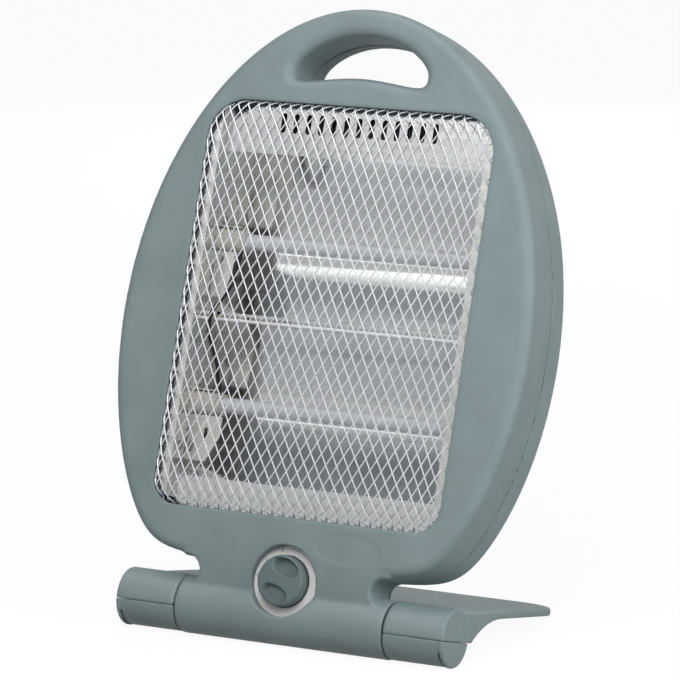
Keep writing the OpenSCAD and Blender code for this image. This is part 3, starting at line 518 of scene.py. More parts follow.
class Sheet:
    """Small helper that lays out the nodes of one material."""

    def __init__(self, name: str) -> None:
        """Starts a material with a Principled shader.

        Args:
            name: the material's name.
        """
        self.material = bpy.data.materials.new(name)
        self.material.use_nodes = True
        self.tree = self.material.node_tree
        self.shader = self.tree.nodes["Principled BSDF"]
        self.out = self.tree.nodes["Material Output"]
        self.place = self.node("ShaderNodeTexCoord").outputs["Object"]

    def node(self, kind: str, **values: object) -> bpy.types.Node:
        """Adds a node and sets its properties, or its inputs where the name is one.

        Args:
            kind: Blender's type name of the node.
            values: properties, or inputs by name with underscores for spaces.

        Returns:
            The node.
        """
        made = self.tree.nodes.new(kind)
        for key, value in values.items():
            if hasattr(made, key):
                setattr(made, key, value)
            else:
                made.inputs[key.replace("_", " ")].default_value = value
        return made

    def link(self, a: Socket, b: Socket) -> None:
        """Joins an output to an input."""
        self.tree.links.new(a, b)

    def noise(self, scale: float, detail: float = 3.0, stretch: Sequence[float] = (1, 1, 1)) -> Socket:
        """Noise on the object's own coordinates.

        Args:
            scale: number of waves to the metre.
            detail: octaves.
            stretch: scale along each axis.

        Returns:
            The noise's factor.
        """
        mapping = self.node("ShaderNodeMapping", Scale=tuple(stretch))
        self.link(self.place, mapping.inputs["Vector"])
        made = self.node("ShaderNodeTexNoise", Scale=scale, Detail=detail)
        self.link(mapping.outputs["Vector"], made.inputs["Vector"])
        return made.outputs["Fac"]

    def tint(self, fac: Socket, dark: Sequence[float], light: Sequence[float]) -> None:
        """Colours the shader from dark to light over the middle of a noise's range.

        Args:
            fac: the noise's factor.
            dark: colour at the low end.
            light: colour at the high end.
        """
        made = self.node("ShaderNodeValToRGB")
        for k, colour in enumerate((dark, light)):
            made.color_ramp.elements[k].position = NOISE_SPAN[k]
            made.color_ramp.elements[k].color = (*colour, 1.0)
        self.link(fac, made.inputs["Fac"])
        self.link(made.outputs["Color"], self.shader.inputs["Base Color"])

    def gloss(self, fac: Socket, low: float, high: float) -> None:
        """Runs the shader's roughness from low to high over the middle of a noise's range.

        Args:
            fac: the noise's factor.
            low: roughness at the low end.
            high: roughness at the high end.
        """
        start, end = NOISE_SPAN
        made = self.node("ShaderNodeMapRange", From_Min=start, From_Max=end, To_Min=low, To_Max=high)
        self.link(fac, made.inputs["Value"])
        self.link(made.outputs["Result"], self.shader.inputs["Roughness"])

    def bump(self, height: Socket, strength: float, distance: float) -> None:
        """Feeds a height into the shader's normal.

        Args:
            height: the height's factor.
            strength: share of the effect.
            distance: height of a full step in metres.
        """
        made = self.node("ShaderNodeBump", Strength=strength, Distance=distance)
        self.link(height, made.inputs["Height"])
        self.link(made.outputs["Normal"], self.shader.inputs["Normal"])

    def set(self, **values: object) -> None:
        """Sets the shader's own sockets, with underscores for spaces."""
        for key, value in values.items():
            self.shader.inputs[key.replace("_", " ")].default_value = value


def shade(colour: Sequence[float], factor: float) -> tuple[float, ...]:
    """The colour times a factor."""
    return tuple(min(1.0, c * factor) for c in colour)


@dataclass(frozen=True)
class MouldedPlastic:
    """Satin moulded plastic with a fine spark-eroded grain and slight clouding."""

    name: str
    colour: Triple
    roughness: float = 0.42
    rougher: Pair = (-0.05, 0.06)
    clouding: Pair = (0.94, 1.05)
    cloud: float = 38.0
    sheen: float = 160.0
    grain: float = 2600.0
    grain_strength: float = 0.12
    grain_depth: float = 0.0002
    specular: float = 0.42

    def make(self) -> bpy.types.Material:
        """Builds the material.

        Returns:
            The material.
        """
        sheet = Sheet(self.name)
        sheet.tint(sheet.noise(self.cloud, 4.0), *(shade(self.colour, k) for k in self.clouding))
        sheet.gloss(sheet.noise(self.sheen), *(self.roughness + k for k in self.rougher))
        sheet.bump(sheet.noise(self.grain, 2.0), self.grain_strength, self.grain_depth)
        sheet.set(Specular_IOR_Level=self.specular)
        return sheet.material


@dataclass(frozen=True)
class Metal:
    """Bare or plated metal with drawn streaks and a faint stain."""

    name: str
    colour: Triple
    roughness: float
    stretch: Triple = (1.0, 1.0, 1.0)
    cloud: float = 30.0
    stain: float = 0.06
    lines: float = 420.0
    streak: float = 0.03
    bump_strength: float = 0.05
    bump_depth: float = 0.0001
    metallic: float = 1.0

    def make(self) -> bpy.types.Material:
        """Builds the material.

        Returns:
            The material.
        """
        sheet = Sheet(self.name)
        dark, light = shade(self.colour, 1 - self.stain), shade(self.colour, 1 + self.stain)
        sheet.tint(sheet.noise(self.cloud, 5.0), dark, light)
        drawn = sheet.noise(self.lines, 3.0, self.stretch)
        sheet.gloss(drawn, max(0.02, self.roughness - self.streak), self.roughness + self.streak)
        sheet.bump(drawn, self.bump_strength, self.bump_depth)
        sheet.set(Metallic=self.metallic)
        return sheet.material


@dataclass(frozen=True)
class MilkyQuartz:
    """Frosted quartz glass that glows a little through its wall."""

    name: str = "milky_quartz"
    colour: Triple = (0.56, 0.58, 0.62)
    frost: float = 90.0
    sheen: float = 300.0
    roughness: Pair = (0.16, 0.3)
    glow: float = 0.25
    glow_depth: float = 0.006
    coat: float = 0.6
    coat_roughness: float = 0.08

    def make(self) -> bpy.types.Material:
        """Builds the material.

        Returns:
            The material.
        """
        sheet = Sheet(self.name)
        frost = sheet.noise(self.frost, 4.0, (0.3, 1, 1))
        sheet.tint(frost, shade(self.colour, 0.9), shade(self.colour, 1.06))
        sheet.gloss(sheet.noise(self.sheen), *self.roughness)
        sheet.set(Subsurface_Weight=self.glow, Subsurface_Radius=(self.glow_depth,) * 3)
        sheet.set(Coat_Weight=self.coat, Coat_Roughness=self.coat_roughness)
        return sheet.material


@dataclass(frozen=True)
class Matt:
    """Matt stuff such as ceramic, rubber, woven sleeve or print, speckled at its own scale."""

    name: str
    colour: Triple
    roughness: float
    speckle: float
    contrast: float = 0.1
    relief: float = 0.15
    relief_depth: float = 0.0003
    sheen: float = 60.0

    def make(self) -> bpy.types.Material:
        """Builds the material.

        Returns:
            The material.
        """
        sheet = Sheet(self.name)
        grain = sheet.noise(self.speckle)
        sheet.tint(grain, shade(self.colour, 1 - self.contrast), shade(self.colour, 1 + self.contrast))
        sheet.gloss(sheet.noise(self.sheen), self.roughness - 0.06, self.roughness + 0.06)
        sheet.bump(grain, self.relief, self.relief_depth)
        return sheet.material


@dataclass
class Finishes:
    """All finishes by name: one for each material slot of the record, and the print on the dial."""

    made: dict[str, bpy.types.Material] = field(default_factory=dict)

    def build(self) -> None:
        """Makes the materials."""
        kinds = [
            MouldedPlastic("grey_plastic", (0.205, 0.262, 0.272)),
            MouldedPlastic("grey_knob", (0.118, 0.16, 0.166), roughness=0.38),
            MouldedPlastic("black_plastic", (0.02, 0.02, 0.022), roughness=0.5),
            Matt("black_rubber", (0.018, 0.018, 0.018), roughness=0.75, speckle=1500.0),
            Matt("black_sleeve", (0.014, 0.014, 0.015), roughness=0.65, speckle=2400.0, relief=0.5),
            Metal("bright_wire", (0.82, 0.83, 0.87), 0.3, stain=0.03, metallic=0.55),
            Metal(
                "polished_sheet", (0.8, 0.82, 0.82), 0.11, stretch=(0.04, 1.0, 1.0), stain=0.04, bump_strength=0.015
            ),
            Metal("zinc_sheet", (0.8, 0.81, 0.77), 0.27, stain=0.08),
            Metal("zinc_screws", (0.62, 0.62, 0.6), 0.3),
            Metal("filament_wire", (0.32, 0.29, 0.27), 0.5),
            MilkyQuartz(),
            Matt("ceramic", (0.5, 0.49, 0.45), roughness=0.6, speckle=700.0),
            Matt("pale_dial", (0.71, 0.705, 0.69), roughness=0.35, speckle=1400.0, contrast=0.04, relief=0.04),
            Matt("dial_print", (0.05, 0.055, 0.055), roughness=0.5, speckle=1400.0),
        ]
        for kind in kinds:
            self.made[kind.name] = kind.make()

    def dress_nodes(self, nodes: dict[str, bpy.types.Object], record: dict) -> None:
        """Gives each CAD node the finish of its slot.

        Args:
            nodes: the CAD objects by name.
            record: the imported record.
        """
        for part in record["subparts"]:
            data = nodes[part["node"]].data
            data.materials.clear()
            data.materials.append(self.made[part["material_slot"]])


# ---------------------------------------------------------------- body shell


@dataclass
class Shell:
    """The two moulded halves of the leaning body, with window, carry-hole, neck and knob pocket."""

    half_w: float = 145.5
    semi_h: float = 209.0
    mid_z: float = 180.0
    bottom_z: float = 27.0
    corner_soft: float = 24.0
    front_y: float = -20.0
    back_y: float = 35.0
    back_fall: Quad = (12.0, 250.0, 139.0, 1.5)
    part_y: float = 12.0
    part_gap: float = 0.2
    wall: float = 2.6
    rim_more: float = 1.2
    rim_from: Pair = (4.0, 6.0)
    back_more: float = 0.9
    crisp_r: float = 0.5
    edge_r: float = 6.0
    back_r: float = 8.0
    grip_half: Pair = (47.5, 13.7)
    grip_z: float = 358.2
    grip_bend: Pair = (6.7, 36.0)
    grip_power: float = 0.8
    grip_r: Pair = (7.0, 4.0)
    barrel_r: float = 18.7
    barrel_half: float = 73.9
    barrel_fillet: float = 1.0
    crease_z: float = 12.4
    scoop_top: float = 60.0
    scoop_ends: Pair = (84.0, 22.0)
    neck_top: float = 42.0
    neck_back: float = 15.0
    neck_fillet: Pair = (4.0, 2.0)
    notch_z: float = 21.1
    notch_r: float = 9.5
    notch_in: float = 3.0
    window_w: float = 204.4
    window_z: Pair = (61.3, 325.0)
    window_corner: Pair = (26.0, 17.0)
    window_back: float = 5.0
    window_r: float = 1.15
    knob_z: float = 21.0
    pocket_r: float = 22.6
    pocket_floor: float = -11.5
    shaft_r: float = 5.0
    louvre_rows: Pair = (129.4, 236.4)
    panel_half: Pair = (75.0, 35.5)
    panel_y: Pair = (2.6, 0.4)
    slit_mid: float = 38.0
    slit_half: Triple = (29.0, 1.8, 31.5)
    slit_pitch: float = 9.0
    screws: tuple[Pair, ...] = (
        (116.28, 92), (-116.28, 92), (120.49, 235), (-120.49, 235), (73.57, 338), (-73.57, 338)
    )
    post_r: float = 5.2
    post_sunk: float = 1.0
    well_r: float = 3.3
    well_y: float = 16.0
    inlet: Quad = (-20.0, 50.0, 5.2, 20.0)
    badge: Quad = (43.0, 45.5, 23.4, 9.7)
    badge_depth: float = 0.45
    badge_step: float = 1.3
    front_spans: tuple[Spans, ...] = (
        ((-147, -80, 2.1), (-80, 80, 1.3), (80, 147, 2.1)),
        ((-22.5, 14, 1.1),),
        ((-20.5, 60, 1.15), (60, 326, 2.3), (326, 391, 1.35)),
    )
    back_spans: tuple[Spans, ...] = (
        ((-147, 147, 2.15),),
        ((10, 37.5, 1.2),),
        ((-20.5, 90, 1.8), (90, 168, 1.05), (168, 196, 2.2), (196, 274, 1.05), (274, 391, 1.8)),
    )

    def outline(self, count: int = 400) -> Array:
        """Egg outline, clockwise from its top.

        Formula: x = half width sin a; z = middle + semi height cos a, softly held above the flattened bottom by
        (p + q + sqrt((p - q)^2 + k^2)) / 2.

        Args:
            count: number of points.

        Returns:
            Rows of x and z.
        """
        a = np.arange(count) * 2 * np.pi / count
        p, q = self.mid_z + self.semi_h * np.cos(a), self.bottom_z
        z = (p + q + np.sqrt((p - q) ** 2 + self.corner_soft**2)) / 2
        return np.stack([self.half_w * np.sin(a), z], 1)

    def grip(self, count: int = 160) -> Array:
        """Bent oval of the carry-hole.

        Formula: x = half width s(sin a), z = middle - bend (x / reach)^2 + half height s(cos a), with
        s(v) = sign(v) |v|^power.

        Args:
            count: number of points.

        Returns:
            Rows of x and z.
        """
        a = np.arange(count) * 2 * np.pi / count
        across, up = (np.sign(v) * np.abs(v) ** self.grip_power for v in (np.sin(a), np.cos(a)))
        bend, reach = self.grip_bend
        x = self.grip_half[0] * across
        return np.stack([x, self.grip_z - bend * (x / reach) ** 2 + self.grip_half[1] * up], 1)

    def window(self, x: Array, z: Array) -> Array:
        """Distance to the window, whose upper corners are rounder than its lower ones."""
        low, high = self.window_z
        r = np.where(z > (low + high) / 2, *self.window_corner)
        return oblong(x, z - (low + high) / 2, self.window_w / 2, (high - low) / 2, r)

    def back_face(self, z: Array) -> Array:
        """Depth of the back face: flat, then falling towards the top with a power of the height."""
        fall, start, span, power = self.back_fall
        return self.back_y - fall * (np.maximum(z - start, 0) / span) ** power

    def scoop(self, z: Array) -> Array:
        """Depth by which the front falls back over the neck, with the square of the height under its top."""
        low_y = -math.sqrt(self.barrel_r**2 - self.crease_z**2)
        return (low_y - self.front_y) * (np.maximum(self.scoop_top - z, 0) / (self.scoop_top - self.crease_z)) ** 2

    def recess(self, x: Array, z: Array) -> Array:
        """Depth of the bare oval beside the knob.

        Formula: full depth times the smooth step, one step wide, of the distance inside an ellipse, taken as
        (1 - q) q / |(u/a, v/b)| with u and v the place over the half axes a and b, and q the length of (u, v).

        Args:
            x: x values.
            z: z values.

        Returns:
            Depths.
        """
        cx, cz, a, b = self.badge
        u, v = (x - cx) / a, (z - cz) / b
        q = np.hypot(u, v) + 1e-6
        return self.badge_depth * smooth_step((1 - q) * q / np.hypot(u / a, v / b) / self.badge_step + 0.5)

    def neck(self, x: Array, y: Array, z: Array, sunk: float = 0.0) -> Array:
        """Distance to the neck: its front falls back to the crease, and two round notches cut its ends.

        Args:
            x, y, z: places in the body's frame, which broadcast.
            sunk: how far its front is set back, so that a fillet there doesn't swell over the face.

        Returns:
            Distances, negative inside.
        """
        front = self.front_y + sunk + self.scoop(z) + self.recess(x, z) - y
        core = shared(front, y - self.neck_back, -z, z - self.neck_top)
        inner = self.barrel_half - self.notch_in
        notch = np.hypot(np.abs(x) - inner, z - self.notch_z) - self.notch_r
        notch = np.minimum(notch, np.maximum(inner - np.abs(x), np.abs(z - self.notch_z) - self.notch_r))
        return cut_round(cut_round(core, np.abs(x) - self.barrel_half, r=1.2), -notch, r=1.4)

    def barrel(self, x: Array, y: Array, z: Array) -> Array:
        """Distance to the body's own hinge barrel, with soft ends."""
        return cut_round(np.hypot(y, z) - self.barrel_r, np.abs(x) - self.barrel_half, r=0.9)

    def front(self, x: Array, y: Array, z: Array) -> Array:
        """Distance to the front casing.

        Formula: the rounded slab of the outline, whose face falls back over the neck, joined to neck and barrel
        by fillets, less carry-hole and knob pocket, hollowed by the wall, less window, and cut at the parting.

        Args:
            x, y, z: places in the body's frame, which broadcast.

        Returns:
            Distances, negative inside.
        """
        reach, soft = self.scoop_ends
        fillet = self.neck_fillet[0]
        fall = smooth_step((reach - np.abs(x)) / soft) * self.scoop(z)
        slab = cut_round(
            loop_distance(self.outline(), x, z), self.front_y + fall + self.recess(x, z) - y, self.edge_r
        )
        slab = cut_round(slab, -loop_distance(self.grip(), x, z), self.grip_r[0])
        solid = np.minimum(add_round(slab, self.neck(x, y, z, fillet), fillet), self.neck(x, y, z))
        solid = add_round(solid, self.barrel(x, y, z), self.barrel_fillet)
        from_knob = np.hypot(x, z - self.knob_z)
        solid = cut_round(solid, -np.maximum(from_knob - self.pocket_r, y - self.pocket_floor), r=0.9)
        window = self.window(x, z)
        start, soft = self.rim_from
        wall = self.wall + self.rim_more * np.clip((window - start) / soft, 0, 1)
        skin = np.maximum(solid, -(solid + wall))
        skin = cut_round(skin, -np.maximum(window, y - self.window_back), self.window_r)
        skin = np.maximum(skin, -np.maximum(from_knob - self.shaft_r, y))
        return cut_round(skin, y - (self.part_y - self.part_gap), self.crisp_r)

    def back(self, x: Array, y: Array, z: Array) -> Array:
        """Distance to the back cover.

        Formula: the rounded slab of the outline, joined to neck and barrel, less carry-hole, hollowed by the
        wall, with louvred panels, screw posts with wells and the inlet's hole, and cut at the parting.

        Args:
            x, y, z: places in the body's frame, which broadcast.

        Returns:
            Distances, negative inside.
        """
        slab = cut_round(loop_distance(self.outline(), x, z), y - self.back_face(z), self.back_r)
        slab = cut_round(slab, -loop_distance(self.grip(), x, z), self.grip_r[1])
        solid = add_round(slab, self.neck(x, y, z), self.neck_fillet[1])
        solid = add_round(solid, self.barrel(x, y, z), self.barrel_fillet)
        skin = np.maximum(solid, -(solid + self.wall + self.back_more))
        panel_x, panel_z = self.panel_half
        slit_x, slit_z, row_z = self.slit_half
        for at in self.louvre_rows:
            depth = np.maximum(self.back_y - self.panel_y[0] - y, y - self.back_y - self.panel_y[1])
            skin = add_round(skin, shared(np.abs(x) - panel_x, np.abs(z - at) - panel_z, depth), r=0.4)
            off = (z - at + row_z) % self.slit_pitch - self.slit_pitch / 2
            slits = shared(np.abs(off) - slit_z, np.abs(z - at) - row_z, np.abs(np.abs(x) - self.slit_mid) - slit_x)
            skin = cut_round(skin, -slits, r=0.8)
        for sx, sz in self.screws:
            off = np.hypot(x - sx, z - sz)
            skin = add_round(skin, np.maximum(off - self.post_r, y - self.back_face(z) + self.post_sunk), r=0.8)
            skin = cut_round(skin, -np.maximum(off - self.well_r, self.well_y - y), r=0.6)
        inlet_x, inlet_z, inlet_r, inlet_y = self.inlet
        inlet = np.maximum(np.hypot(x - inlet_x, z - inlet_z) - inlet_r, inlet_y - y)
        skin = cut_round(skin, -inlet, self.crisp_r)
        return cut_round(skin, (self.part_y + self.part_gap) - y, self.crisp_r)

    def build(self, finishes: Finishes) -> None:
        """Builds both halves.

        Args:
            finishes: the finishes.
        """
        for name, shape, spans, node in (
            ("casing_front", self.front, self.front_spans, "front_casing"),
            ("casing_back", self.back, self.back_spans, "back_cover"),
        ):
            Piece(name, *moulding(shape, spans), "grey_plastic", (node,)).build(finishes)


# ---------------------------------------------------------------- stand


@dataclass
class Stand:
    """End barrels, foot plate and the barrels' lower covers."""

    inner_x: float = 74.9
    half_w: float = 117.1
    barrel_r: float = 18.7
    axis_z: float = 18.4
    wall: float = 2.5
    reach: float = 164.0
    corner_r: float = 34.0
    plate_t: float = 5.0
    plate_y: float = 4.0
    floor_gap: float = 1.0
    edge_r: float = 1.3
    plate_z: float = 31.5
    slope: float = 0.19
    slope_y: float = 14.0
    part_z: float = -2.2
    part_deg: float = 14.6
    arch_r: float = 68.0
    arch_touch: float = 66.0
    ribs: int = 4
    rib: float = 2.5
    hollow_y: Pair = (22.5, 124.0)
    disc_r: float = 16.0
    disc_t: float = 3.0
    pad_in: float = 16.0
    pad_r: float = 6.1
    pad_t: float = 2.2
    flange_t: float = 2.7
    cover_step: float = 0.5
    slot_w: float = 1.2
    slot_depth: float = 2.6
    slot_to: Pair = (-4.5, -5.5)
    screw_x: float = 98.0
    screw_r: float = 3.3
    part_gap: float = 0.12
    body_spans: tuple[Spans, ...] = (
        ((-118.5, -113, 0.7), (-113, 113, 1.6), (113, 118.5, 0.7)),
        ((-19.5, 26, 0.9), (26, 158, 2.0), (158, 165.5, 0.8)),
        ((-18.6, 20, 0.85),),
    )
    cover_spans: tuple[Spans, ...] = (((74, 111, 1.2), (111, 118, 0.4)), ((-19.4, 19.4, 0.6),), ((-19, 4, 0.6),))

    def plate_top(self, y: Array) -> Array:
        """Height of the plate's top over the hinge axis: it falls by the slope, from its full height at slope_y."""
        return self.plate_z - self.axis_z - self.slope * (y - self.slope_y)

    def parting(self, y: Array) -> Array:
        """Height of the parting line, which falls to the rear."""
        return self.part_z - math.tan(math.radians(self.part_deg)) * y

    def core(self, x: Array, y: Array, z: Array) -> Array:
        """Distance to the space in the end barrels."""
        return np.maximum(np.hypot(y, z) - (self.barrel_r - self.wall), np.abs(x) - (self.half_w - self.wall))

    def hollowed(self, solid: Array, x: Array, y: Array, z: Array) -> Array:
        """Distance to a solid less the end barrels' space, which stops short of their inner discs."""
        return np.maximum(solid, -np.maximum(self.core(x, y, z), self.inner_x + self.disc_t - np.abs(x)))

    def tube(self, x: Array, y: Array, z: Array, r: float) -> Array:
        """Distance to an end barrel of radius r with a soft outer end, hollow inside."""
        shell = cut_round(np.hypot(y, z) - r, np.abs(x) - self.half_w, self.edge_r)
        return self.hollowed(cut_round(shell, self.inner_x - np.abs(x), r=0.6), x, y, z)

    def moulded(self, x: Array, y: Array, z: Array) -> Array:
        """Distance to the stand's main moulding.

        Formula: the sloping plate between its top plane and the arch, held in the rounded plan, joined to the
        upper halves of both end barrels and cut off at the parting.

        Args:
            x, y, z: places in the stand's frame, which broadcast.

        Returns:
            Distances, negative inside.
        """
        lean = math.atan(self.slope)
        top = self.plate_top(y)
        arch_y = self.arch_touch - self.arch_r * math.sin(lean)
        arch_z = self.plate_top(self.arch_touch) - self.plate_t - self.arch_r * math.cos(lean)
        arch = self.arch_r - np.hypot(y - arch_y, z - arch_z)
        below = np.where(y < self.arch_touch, arch, (top - self.plate_t - z) * math.cos(lean))
        below = np.maximum(below, -self.axis_z + self.floor_gap - z)
        plan = oblong(x, y, self.half_w, self.reach, self.corner_r)
        plate = cut_round(cut_round((z - top) * math.cos(lean), plan, self.edge_r), below, r=0.8)
        plate = np.maximum(plate, self.plate_y - y)
        room = np.maximum(np.abs(x) - self.inner_x, y - (self.barrel_r + self.edge_r))
        plate = cut_round(plate, -room, r=0.7)
        cell = (2 * self.half_w - self.rib) / self.ribs
        along = (x + self.half_w) % cell
        hollow = shared(
            self.rib - along, along - cell, np.abs(x) - (self.half_w - self.rib), self.hollow_y[0] - y,
            y - self.hollow_y[1], (z - top + self.rib) * math.cos(lean),
        )
        plate = self.hollowed(cut_round(plate, -hollow, r=0.5), x, y, z)
        solid = add_round(plate, self.tube(x, y, z, self.barrel_r), r=1.5)
        solid = cut_round(solid, (self.parting(y) + self.part_gap) - z, r=0.4)
        half_t = self.disc_t / 2
        disc = np.maximum(np.hypot(y, z) - self.disc_r, np.abs(np.abs(x) - self.inner_x - half_t) - half_t)
        off = np.hypot(np.abs(x) - (self.half_w - self.corner_r), y - (self.reach - self.pad_in))
        pad = np.maximum(off - self.pad_r, z + self.axis_z - self.pad_t)
        return np.maximum(np.minimum(solid, disc), -pad)

    def cover(self, x: Array, y: Array, z: Array) -> Array:
        """Distance to a lower cover: a slightly thinner half tube, its end flange and the crescent slot.

        Args:
            x, y, z: places in the stand's frame, which broadcast.

        Returns:
            Distances, negative inside.
        """
        flange_x = self.half_w - self.flange_t
        flange = np.maximum(np.hypot(y, z) - self.barrel_r, flange_x - np.abs(x))
        flange = cut_round(flange, np.abs(x) - self.half_w, self.edge_r)
        outer = np.minimum(self.tube(x, y, z, self.barrel_r - self.cover_step), flange)
        outer = np.maximum(outer, -self.core(x, y, z))
        half = self.slot_w / 2
        slot = shared(
            np.abs(np.abs(x) - (flange_x - half)) - half, self.barrel_r - self.slot_depth - np.hypot(y, z),
            y - self.slot_to[0], z - self.slot_to[1],
        )
        screw = np.hypot(np.abs(x) - self.screw_x, y) - self.screw_r
        outer = shared(outer, -slot, -screw)
        outer = cut_round(outer, z - (self.parting(y) - self.part_gap), r=0.4)
        return np.maximum(outer, -self.axis_z - z)

    def build(self, finishes: Finishes) -> None:
        """Builds the moulding and both covers.

        Args:
            finishes: the finishes.
        """
        where = {"place": STAND, "body": "stand"}
        surface = moulding(self.moulded, self.body_spans)
        Piece("stand_body", *surface, "grey_plastic", ("stand_moulding",), **where).build(finishes)
        for side in Side:
            surface = moulding(self.cover, self.cover_spans, mirror=side is Side.LEFT)
            name = f"barrel_cover_{side.name.lower()}"
            Piece(f"{name}_shell", *surface, "grey_plastic", (name,), **where).build(finishes)


# ---------------------------------------------------------------- grille


@dataclass
class Grille:
    """Domed tray of diamond wire mesh, whose flat border lies under the casing's edge."""

    half_w: float = 103.1
    half_h: float = 132.75
    flat: float = 1.7
    mid_z: float = 193.15
    seat_y: float = -16.6
    wall_rise: float = 8.6
    wall_width: float = 12.0
    wall_power: float = 2.2
    crown: float = 5.0
    wire_r: float = 0.46
    wire_sides: int = 5
    wire_steps: int = 4
    clear: float = 0.15
    crowd: float = 0.05
    cells: tuple[int, int] = (56, 40)
    corner: Pair = (27.0, 18.0)

    def inset(self, x: Array, z: Array) -> Array:
        """Distance inside the tray's rounded border, whose upper corners are the rounder ones."""
        return -oblong(x, z - self.mid_z, self.half_w, self.half_h, np.where(z > self.mid_z, *self.corner))

    def depth(self, x: Array, z: Array) -> Array:
        """Depth of the net.

        Formula: seat - rise (1 - (1 - d/w)^3)^(1/power) - crown (1 - u^2)(1 - v^2), with d the distance inside the
        flat border, w the wall's width, and u and v the place as a share of half the size.

        Args:
            x: x values.
            z: z values.

        Returns:
            The y values.
        """
        d = np.clip((self.inset(x, z) - self.flat) / self.wall_width, 0, 1)
        u, v = np.clip(x / self.half_w, -1, 1), np.clip((z - self.mid_z) / self.half_h, -1, 1)
        rise = self.wall_rise * (1 - (1 - d) ** 3) ** (1 / self.wall_power)
        return self.seat_y - rise - self.crown * (1 - u**2) * (1 - v**2)

    def spread(self, t: Array) -> Array:
        """Place of lattice value t from -1 to 1: even, but closer on the wall, (t - c t^9) / (1 - c)."""
        return (t - self.crowd * t**9) / (1 - self.crowd)

    def strand(self, start: int, family: Family) -> Array | None:
        """Middle line of one wire.

        Args:
            start: lattice column where the wire meets the lower edge, which may lie outside the tray.
            family: which way the wire slants.

        Returns:
            The points inside the border, or None where there are too few.
        """
        nx, nz = self.cells
        k = np.linspace(0, nz, self.wire_steps * nz + 1)
        i = start + family.value * k
        keep = (i >= 0) & (i <= nx)
        x = self.half_w * self.spread(2 * i[keep] / nx - 1)
        z = self.mid_z + self.half_h * self.spread(2 * k[keep] / nz - 1)
        keep = self.inset(x, z) > self.clear
        x, z = x[keep], z[keep]
        return np.stack([x, self.depth(x, z), z], 1) if len(x) > 2 else None

    def build(self, finishes: Finishes) -> None:
        """Builds the net as one piece.

        Args:
            finishes: the finishes.
        """
        nx, nz = self.cells
        paths = []
        for family in Family:
            first = -nz if family is Family.RISING else 0
            paths += [self.strand(start, family) for start in range(first, first + nx + nz + 1, 2)]
        net = join(tube_along(path, self.wire_r, self.wire_sides) for path in paths if path is not None)
        Piece("grille_net", *net, "bright_wire", ("grille_mesh",), sharp_deg=60.0).build(finishes)


# ---------------------------------------------------------------- reflector and lamps


@dataclass
class Reflector:
    """Polished sheet of two parabolic troughs with a row of air slots in its upper flange."""

    flange_y: float = -7.0
    depth: float = 34.5
    focal: float = 20.0
    middles: Pair = (133.4, 240.4)
    low_z: float = 58.3
    high_z: float = 331.0
    half_x: float = 94.9
    sheet: float = 0.8
    lip: float = 6.0
    slot_z: float = 313.6
    slot_h: float = 13.0
    slot_w: float = 3.6
    slot_pitch: float = 9.1
    slots: int = 13
    plain_z: float = 323.0
    trough_steps: int = 65
    slot_steps: int = 15

    def profile(self) -> Array:
        """Section of the sheet.

        Formula: each trough is y = vertex - t^2 / (4 focal) with t the height over its middle, between flat flanges.

        Returns:
            Rows of y and z.
        """
        half = math.sqrt(4 * self.focal * self.depth)
        t = np.linspace(-half, half, self.trough_steps)
        vertex = self.flange_y + self.depth
        troughs = [np.stack([vertex - t**2 / (4 * self.focal), z + t], 1) for z in self.middles]
        rows = slot_rows(self.slot_z, self.slot_h / 2, self.slot_steps)
        low, high = (
            np.stack([np.full(len(z), self.flange_y), z], 1)
            for z in ([self.low_z, self.low_z + self.lip], [*rows, self.plain_z, self.high_z])
        )
        return np.vstack([low, *troughs, high])

    def build(self, finishes: Finishes) -> None:
        """Builds the sheet: section times columns, whose slot columns follow each slot's rounded outline.

        Args:
            finishes: the finishes.
        """
        section = self.profile()
        z = section[:, 1]
        centres = (np.arange(self.slots) - (self.slots - 1) / 2) * self.slot_pitch
        slots = [(c, self.slot_z, self.slot_w / 2, self.slot_h / 2) for c in centres]
        edge = np.full(len(z), self.half_x)
        x, quads = pierced(z, -edge, edge, slots)
        points = np.stack(np.broadcast_arrays(x, section[:, :1], section[:, 1:]), -1)
        Piece(
            "reflector_sheet", points, quads, "polished_sheet", ("reflector",),
            sharp_deg=30.0, merge=0.002, wall=self.sheet,
        ).build(finishes)


@dataclass(frozen=True)
class Leaf:
    """Thin leaf under a left bracket: its top, its right edge at three heights, and its slots over its top."""

    name: str
    top: float
    right: Triple
    slots: tuple[Quad, ...]


